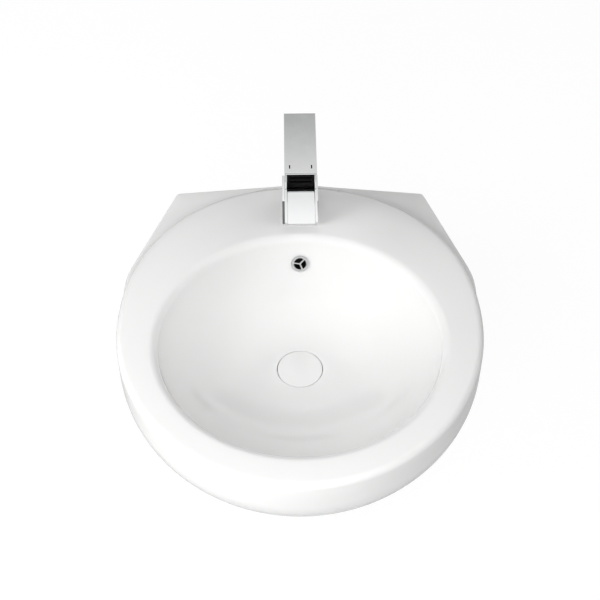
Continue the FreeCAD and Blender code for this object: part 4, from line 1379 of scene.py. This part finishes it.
@dataclass
class Basin:
    """The dressed ceramic with what is cut out of it."""

    ceramic: Ceramic
    overflow: Overflow
    tap_y: float = -60.0 * MM
    tap_hole: float = 17.5 * MM
    tap_hole_low: float = 15.0 * MM
    tap_hole_top: float = 65.0 * MM
    service_half: float = 75.0 * MM
    service_top: float = -14.0 * MM
    service_front: float = -105.0 * MM
    service_step: float = -40.0 * MM
    service_foot: float = -60.0 * MM
    service_low_front: float = -130.0 * MM
    service_low: float = -115.0 * MM
    service_rear: float = 20.0 * MM
    reach: float = 0.05 * MM
    aligned: float = 0.9

    def service_way(self) -> Piece:
        """Build the space of the way in behind and below the bowl.

        Returns:
            The tool that cuts it.
        """
        return prism("service_way", [
            (self.service_front, self.service_top),
            (self.service_front, self.service_step),
            (self.service_low_front, self.service_foot),
            (self.service_low_front, self.service_low),
            (self.service_rear, self.service_low),
            (self.service_rear, self.service_top),
        ], self.service_half)

    def lining(self, body: Piece, walls: Sequence[BVHTree]) -> list[int]:
        """Find the faces of the ceramic that line its passages.

        Args:
            body: the ceramic, after the passages are cut.
            walls: the surfaces of the passages' tools.

        Returns:
            The faces' numbers.
        """
        found = []
        for face in body.data.polygons:
            for wall in walls:
                place, normal, *_ = wall.find_nearest(face.center, self.reach)
                if place and abs(normal.dot(face.normal)) > self.aligned:
                    found.append(face.index)
                    break
        return found

    def build(self) -> None:
        """Build the ceramic, its ring and its grille."""
        body = self.ceramic.mesh()
        carve(body, self.service_way())
        carve(body, self.overflow.rib(), "UNION")
        passages = self.overflow.passages()
        walls = [BVHTree.FromPolygons([corner.co for corner in passage.data.vertices],
                                      [face.vertices for face in passage.data.polygons])
                 for passage in passages]
        for passage in passages:
            carve(body, passage)
        carve(body, bore("tap_bore", self.tap_hole, self.tap_hole_low, self.tap_hole_top,
                         (0.0, self.tap_y)))
        finish_piece(smooth(body, angle=38.0), WHITE_GLAZE, Body.BASIN, "basin_body")
        # Painted shade: the faces that line the duct and the hole get the near-black duct colour.
        paint(body, self.lining(body, walls), DUCT_SHADE)
        self.overflow.ring()
        self.overflow.grille()


# ---------------------------------------------------------------- waste


@dataclass
class Waste:
    """What shows of the waste: the ceramic cover, and the threads under the bowl."""

    axis_y: float = -255.0 * MM
    cover_radius: float = 32.0 * MM
    cover_under: float = -67.3 * MM
    cover_edge: float = 5.0 * MM
    cover_chamfer: float = 1.0 * MM
    cover_soft: float = 1.1 * MM
    crown: float = 1.6 * MM
    crown_inset: float = 0.9 * MM
    crown_steps: int = 24
    thread_radius: float = 20.95 * MM
    thread_low: float = -144.0 * MM
    thread_length: float = 34.0 * MM
    thread_pitch: float = 1.8 * MM
    thread_wire: float = 0.55 * MM

    def cover(self) -> None:
        """Build the domed cover."""
        low, edge = self.cover_under, self.cover_under + self.cover_edge
        soft = self.cover_soft
        outline = [(0.0, low), (self.cover_radius - self.cover_chamfer, low),
                   (self.cover_radius, low + self.cover_chamfer),
                   *arc((self.cover_radius - soft, edge - soft), soft, 0.0, 80.0, count=7)]
        for share in steps(1.0, 0.0, self.crown_steps)[1:]:
            outline.append(((self.cover_radius - self.crown_inset) * share,
                            edge + self.crown * (1.0 - share * share)))
        cover = smooth(lathe("waste_cap", outline, segments=128), angle=40.0)
        move(cover, Matrix.Translation((0.0, self.axis_y, 0.0)))
        finish_piece(cover, WHITE_GLAZE, Body.PLUG, "waste_cover")

    def build(self) -> None:
        """Build the cover, and the thread ridges of the waste tube under its backnut."""
        self.cover()
        thread_ridges("waste_thread", CHROME, (0.0, self.axis_y, self.thread_low),
                      self.thread_length, self.thread_pitch, Radius=self.thread_radius,
                      Wire=self.thread_wire, Steps=40)


# ---------------------------------------------------------------- tap


@dataclass
class Tap:
    """The tap's visible shells, with softened edges; heights are above the worktop."""

    axis_y: float = -60.0 * MM
    fitted_turn: float = math.radians(0.8)
    half: float = 22.0 * MM
    foot_z: float = 59.0 * MM
    column_back: float = -38.0 * MM
    column_front: float = -82.0 * MM
    column_top: float = 193.0 * MM
    spout_back: float = -81.0 * MM
    spout_root: float = 158.2 * MM
    spout_tip: float = -203.0 * MM
    lip_under: float = 182.2 * MM
    tray_wall: float = 187.6 * MM
    tray_z: float = 185.0 * MM
    wall_top: float = 200.7 * MM
    mouth_y: float = -128.0 * MM
    channel_half: float = 18.5 * MM
    channel_back: float = -85.7 * MM
    body_soft: float = 0.45 * MM
    well_radius: float = 16.5 * MM
    well_z: float = 186.0 * MM
    valve_radius: float = 14.0 * MM
    valve_z: float = 150.0 * MM
    way_radius: float = 3.5 * MM
    way_y: float = -95.0 * MM
    way_z: float = 168.0 * MM
    inlet_radius: float = 5.0 * MM
    inlet_x: float = 9.0 * MM
    inlet_y: float = -56.0 * MM
    inlet_top: float = 73.0 * MM
    stud_hole: float = 4.05 * MM
    stud_hole_top: float = 74.0 * MM
    lever_back: float = -9.0 * MM
    lever_under: float = 201.0 * MM
    lever_top: float = 205.0 * MM
    lever_soft: float = 0.6 * MM
    lever_roll: float = 3.4 * MM
    slot_x: float = 14.8 * MM
    slot_half: float = 0.85 * MM
    slot_front: float = -120.0 * MM
    slot_back: float = -113.2 * MM
    shroud_half: float = 25.5 * MM
    shroud_inner: float = 22.3 * MM
    shroud_top: float = 107.0 * MM
    base_half: float = 25.0 * MM
    base_low: float = 56.0 * MM
    base_bore: float = 16.5 * MM
    skirt_low: float = 55.06 * MM
    skirt_play: float = 0.1 * MM
    gasket_low: float = 55.0 * MM
    gasket_half: float = 24.5 * MM
    gasket_soft: float = 0.15 * MM
    foot_soft: float = 0.5 * MM
    former_half: float = 18.2 * MM
    former_front: float = -121.6 * MM
    former_back: float = -86.0 * MM
    former_top: float = 199.7 * MM
    former_soft: float = 0.4 * MM
    room_half: float = 15.0 * MM
    room_front: float = -114.8 * MM
    room_back: float = -89.2 * MM
    room_low: float = 187.4 * MM
    room_top: float = 196.5 * MM
    slit_half: float = 14.9 * MM
    slit_back: float = -113.8 * MM
    slit_top: float = 190.0 * MM
    stud_y: float = -71.0 * MM
    stud_low: float = 16.4 * MM
    stud_thread: float = 11.0 * MM
    thread_radius: float = 3.98 * MM
    thread_pitch: float = 1.25 * MM
    thread_wire: float = 0.28 * MM

    def turned(self, piece: Piece) -> Piece:
        """Turn a piece about the tap's axis, by as much as the tap was fitted off straight."""
        axis = Matrix.Translation((0.0, self.axis_y, 0.0))
        return move(piece, axis @ Matrix.Rotation(self.fitted_turn, 4, "Z") @ axis.inverted())

    def square(self, name: str, half: float, low: float, high: float) -> Piece:
        """Build a square block about the tap's axis, between two heights."""
        return box(name, (-half, self.axis_y - half, low), (half, self.axis_y + half, high))

    def body(self) -> None:
        """Build the square column with its open spout, its well and its waterways."""
        outline = [
            (self.column_back, self.foot_z),
            (self.column_back, self.column_top),
            (self.spout_back, self.column_top),
            (self.spout_back, self.wall_top),
            (self.mouth_y, self.wall_top),
            (self.mouth_y, self.tray_wall),
            (self.spout_tip, self.tray_wall),
            (self.spout_tip, self.lip_under),
            (self.column_front, self.spout_root),
            (self.column_front, self.foot_z),
        ]
        body = prism("tap_casting", outline, self.half)
        carve(body, box("channel", (-self.channel_half, self.spout_tip - MM, self.tray_z),
                        (self.channel_half, self.channel_back, self.wall_top + MM)))
        self.turned(bevelled(body, self.body_soft))
        middle = (0.0, self.axis_y)
        under = self.foot_z - MM
        for hole in (
            (self.well_radius, self.well_z, self.column_top + MM, middle),
            (self.valve_radius, self.valve_z, self.well_z + MM, middle),
            (self.way_radius, self.way_y, self.axis_y, (0.0, self.way_z), True),
            (self.way_radius, self.way_z, self.well_z, (0.0, self.way_y)),
            (self.stud_hole, under, self.stud_hole_top, (0.0, self.stud_y)),
            *((self.inlet_radius, under, self.inlet_top, (side * self.inlet_x, self.inlet_y))
              for side in SIDES),
        ):
            carve(body, bore("hole", *hole))
        finish_piece(flatten_normals(body), CHROME, Body.BASIN, "tap_body")

    def lever(self) -> None:
        """Build the top plate with its two slots and the roll of its rear edge."""
        centre = (self.lever_back - self.lever_roll, self.lever_top - self.lever_roll)
        outline = [(self.mouth_y, self.lever_top), (self.mouth_y, self.lever_under),
                   (self.lever_back, self.lever_under),
                   *arc(centre, self.lever_roll, 0.0, 90.0, count=6)]
        plate = bevelled(prism("tap_top_plate", outline, self.half), self.lever_soft, segments=4)
        for side in SIDES:
            middle = side * self.slot_x
            carve(plate, box("slot", (middle - self.slot_half, self.slot_front,
                                      self.lever_under - MM),
                             (middle + self.slot_half, self.slot_back, self.lever_top + MM)))
        finish_piece(flatten_normals(self.turned(plate)), CHROME, Body.LEVER, "lever_plate")

    def shroud(self) -> None:
        """Build the square sleeve round the column's foot, with a polished rim."""
        shroud = bevelled(self.square("foot_sleeve", self.shroud_half, self.foot_z,
                                      self.shroud_top), self.foot_soft)
        carve(shroud, self.square("inside", self.shroud_inner, self.foot_z - MM,
                                  self.shroud_top + MM))
        flatten_normals(self.turned(shroud))
        finish_piece(shroud, SATIN_GRAPHITE, Body.BASIN, "tap_shroud")
        rim = [face.index for face in shroud.data.polygons
               if face.center.z > self.shroud_top - self.foot_soft]
        paint(shroud, rim, CHROME)

    def base(self) -> None:
        """Build the plate under the tap, whose thin skirt hides the gasket."""
        base = bevelled(self.square("foot_plate", self.base_half, self.skirt_low, self.foot_z),
                        self.foot_soft)
        carve(base, self.square("pocket", self.gasket_half + self.skirt_play,
                                self.skirt_low - MM, self.base_low))
        carve(base, bore("base_bore", self.base_bore, self.base_low - MM, self.foot_z + MM,
                         (0.0, self.axis_y)))
        flatten_normals(self.turned(base))
        finish_piece(base, CHROME_SATIN, Body.BASIN, "tap_base_plate")

    def gasket(self) -> None:
        """Build the gasket inside the base plate's skirt."""
        gasket = bevelled(self.square("foot_seal", self.gasket_half, self.gasket_low,
                                      self.base_low), self.gasket_soft)
        carve(gasket, bore("seal_bore", self.base_bore, self.gasket_low - MM,
                           self.base_low + MM, (0.0, self.axis_y)))
        finish_piece(flatten_normals(gasket), RUBBER, Body.BASIN, "tap_gasket")

    def former(self) -> None:
        """Build the black insert that fills the mouth, with its room, slit and inlet."""
        former = bevelled(box("outlet_insert", (-self.former_half, self.former_front, self.tray_z),
                              (self.former_half, self.former_back, self.former_top)),
                          self.former_soft)
        carve(former, box("room", (-self.room_half, self.room_front, self.room_low),
                          (self.room_half, self.room_back, self.room_top)))
        carve(former, box("slit", (-self.slit_half, self.former_front - MM, self.room_low),
                          (self.slit_half, self.slit_back, self.slit_top)))
        carve(former, bore("inlet", self.way_radius, self.tray_z - MM, self.room_low + MM,
                           (0.0, self.way_y)))
        flatten_normals(self.turned(former))
        finish_piece(former, BLACK_PLASTIC, Body.BASIN, "flow_former")

    def build(self) -> None:
        """Build the tap's shells, and the thread ridges of its stud under the nut."""
        self.body()
        self.lever()
        self.shroud()
        self.base()
        self.gasket()
        self.former()
        thread_ridges("stud_ridges", STEEL, (0.0, self.stud_y, self.stud_low), self.stud_thread,
                      self.thread_pitch, Radius=self.thread_radius, Wire=self.thread_wire,
                      Steps=32)


def dress_nodes() -> None:
    """Give every CAD node that still shows the finish of its slot."""
    finishes = {finish.slot.value: finish for finish in FINISHES}
    slots = {part["node"]: part["material_slot"] for part in frame["record"]["subparts"]}
    for node, piece in frame["nodes"].items():
        if piece.hide_render:
            continue
        material = finishes[slots[node]].material()
        for slot in piece.material_slots:
            slot.link = "OBJECT"
            slot.material = material
        LOG.info("%s keeps its CAD shape in %s", node, slots[node])


# ---------------------------------------------------------------- studio


@dataclass(frozen=True)
class Lamp:
    """A soft square lamp that points at the basin; gloss sees the world instead of it."""

    name: str
    place: Place
    width: float
    power: float
    target: Place = (0.0, -0.3, 0.0)

    def build(self) -> None:
        """Hang the lamp in the scene."""
        light = bpy.data.lights.new(self.name, "AREA")
        light.shape = "SQUARE"
        light.size = self.width
        light.energy = self.power
        hung = bpy.data.objects.new(self.name, light)
        hung.location = self.place
        aim = Vector(self.target) - Vector(self.place)
        hung.rotation_euler = aim.to_track_quat("-Z", "Y").to_euler()
        hung.visible_glossy = False
        bpy.context.scene.collection.objects.link(hung)


@dataclass(frozen=True)
class Glow:
    """A broad soft light in the world: which way it lies, in degrees, and its strength."""

    around: float
    up: float
    strength: float

    def direction(self) -> Place:
        """Give the direction as a vector; 0 degrees around is +X, and 90 is +Y."""
        turn, rise = math.radians(self.around), math.radians(self.up)
        return (math.cos(rise) * math.cos(turn), math.cos(rise) * math.sin(turn), math.sin(rise))


@dataclass(frozen=True)
class Studio:
    """Floor, world, lamps and camera."""

    floor_z: float = -200.0 * MM
    floor_half: float = 6.0
    floor_grey: Colour = (0.5, 0.5, 0.5)
    floor_rough: float = 0.9
    floor_shine: float = 1.25
    floor_glow: float = 0.72
    floor_mirrored: float = 0.35
    lens: float = 84.0
    sensor: float = 36.0
    camera_place: Place = (0.0, -1.466, 1.534)
    camera_pitch: float = math.radians(40.0)
    camera_near: float = 0.05
    camera_far: float = 50.0
    sky: tuple[Point, ...] = (
        (0.00, 0.31), (0.40, 0.355), (0.60, 0.375), (0.676, 0.46), (0.688, 0.58),
        (0.698, 0.67), (0.717, 0.87), (0.728, 1.08), (0.80, 1.10), (1.00, 1.10))
    sides: tuple[Point, ...] = ((0.0, 0.0), (0.15, 0.0), (0.4, 0.85), (1.0, 0.9))
    glow_focus: float = 6.0
    glows: tuple[Glow, ...] = (
        Glow(0.0, 90.0, 0.31), Glow(0.0, 50.0, 1.18), Glow(0.0, 14.0, 0.06),
        Glow(135.0, 14.0, 0.60), Glow(215.0, 8.0, 0.25))
    lamps: tuple[Lamp, ...] = (
        Lamp("key", (-1.6, -1.0, 1.5), 0.9, 9.4),
        Lamp("left", (-1.3, -0.5, 0.8), 0.8, 5.8),
        Lamp("left_high", (-0.9, -0.8, 1.7), 1.0, 2.2),
        Lamp("right_high", (1.2, -0.3, 1.7), 1.0, 2.4),
        Lamp("front", (-0.3, -2.1, 1.0), 1.0, 5.4),
        Lamp("front_low", (-0.3, -1.7, 0.25), 0.8, 3.7),
        Lamp("front_near", (0.0, -1.35, 0.8), 0.8, 4.9),
        Lamp("left_low", (-1.2, -1.3, 0.15), 0.8, 3.8),
    )

    def floor(self) -> None:
        """Lay the pale floor, which stays nearly white to the camera but keeps a shadow."""
        half = self.floor_half
        corners = [Vector((x * half, y * half, self.floor_z))
                   for x, y in ((-1.0, -1.0), (1.0, -1.0), (1.0, 1.0), (-1.0, 1.0))]
        ground = from_faces("floor", corners, [(0, 1, 2, 3)])
        shader = Shader("studio_floor")
        shader.set(Base_Color=self.floor_grey, Roughness=self.floor_rough)
        tree = shader.tree
        glow = add_node(tree, "ShaderNodeEmission", {"Color": WHITE, "Strength": self.floor_shine})
        path = add_node(tree, "ShaderNodeLightPath")
        mirrored = maths(tree, "MULTIPLY", path["Is Glossy Ray"], self.floor_mirrored)
        seen = maths(tree, "MAXIMUM", path["Is Camera Ray"], mirrored)
        share = maths(tree, "MULTIPLY", seen, self.floor_glow)
        mix = add_node(tree, "ShaderNodeMixShader", {
            "Fac": share, 1: shader.surface.outputs["BSDF"], 2: glow["Emission"]})
        feed(tree, tree.nodes["Material Output"].inputs["Surface"], mix["Shader"])
        ground.data.materials.append(shader.material)

    def fill(self, tree: Tree, place: Socket) -> Socket:
        """Add up the soft glows that light the part from all round.

        Args:
            tree: the world's tree.
            place: the direction that a ray looks in.

        Returns:
            The strength of the light from that direction.
        """
        total: Socket | float = 0.0
        for glow in self.glows:
            dot = add_node(tree, "ShaderNodeVectorMath", {0: place, 1: glow.direction()},
                           operation="DOT_PRODUCT")
            lobe = maths(tree, "POWER", maths(tree, "MAXIMUM", dot["Value"], 0.0),
                         self.glow_focus)
            total = maths(tree, "MULTIPLY_ADD", lobe, glow.strength, total)
        return total

    def mirrored(self, tree: Tree, place: Socket) -> Socket:
        """Give the tone that gloss and metal see, darker at the back than at the sides.

        Args:
            tree: the world's tree.
            place: the direction that a ray looks in.

        Returns:
            The strength of the light from that direction.
        """
        split = add_node(tree, "ShaderNodeSeparateXYZ", {"Vector": place})
        away = maths(tree, "ABSOLUTE", split["X"])
        tones = [ramp(tree, value, [(position, (tone, tone, tone)) for position, tone in stops])
                 for value, stops in ((split["Z"], self.sky), (away, self.sides))]
        return maths(tree, "MAXIMUM", *tones)

    def world(self) -> None:
        """Set a world that is white to the camera and a soft studio to the part."""
        world = bpy.data.worlds.new("studio")
        bpy.context.scene.world = world
        world.use_nodes = True
        tree = world.node_tree
        tree.nodes.clear()
        place = add_node(tree, "ShaderNodeTexCoord")["Generated"]
        sharp, soft, plain = (
            add_node(tree, "ShaderNodeBackground", {"Color": WHITE, "Strength": strength})[0]
            for strength in (self.mirrored(tree, place), self.fill(tree, place), 1.0))
        path = add_node(tree, "ShaderNodeLightPath")
        gloss = add_node(tree, "ShaderNodeMixShader", {
            "Fac": path["Is Glossy Ray"], 1: soft, 2: sharp})
        seen = add_node(tree, "ShaderNodeMixShader", {
            "Fac": path["Is Camera Ray"], 1: gloss["Shader"], 2: plain})
        add_node(tree, "ShaderNodeOutputWorld", {"Surface": seen["Shader"]})

    def camera(self) -> None:
        """Set up the camera at the photograph's viewing angle."""
        data = bpy.data.cameras.new("camera")
        data.lens = self.lens
        data.sensor_width = self.sensor
        data.clip_start = self.camera_near
        data.clip_end = self.camera_far
        camera = bpy.data.objects.new("camera", data)
        camera.location = self.camera_place
        camera.rotation_euler = (self.camera_pitch, 0.0, 0.0)
        bpy.context.scene.collection.objects.link(camera)
        bpy.context.scene.camera = camera

    def build(self) -> None:
        """Build the whole studio."""
        bpy.context.scene.view_settings.view_transform = "Standard"
        self.camera()
        self.floor()
        self.world()
        for lamp in self.lamps:
            lamp.build()


def corners(bounds: Sequence[Sequence[float]]) -> list[list[float]]:
    """Give a box's two corners as plain lists of numbers."""
    return [[round(float(value), 6) for value in corner] for corner in bounds]


def main() -> None:
    """Dress the part and set it in the studio."""
    logging.basicConfig(level=logging.INFO, format="%(name)s: %(message)s")
    Studio().build()
    ceramic = Ceramic()
    Basin(ceramic, Overflow(ceramic)).build()
    Waste().build()
    Tap().build()
    dress_nodes()


if __name__ == "__main__":
    main()
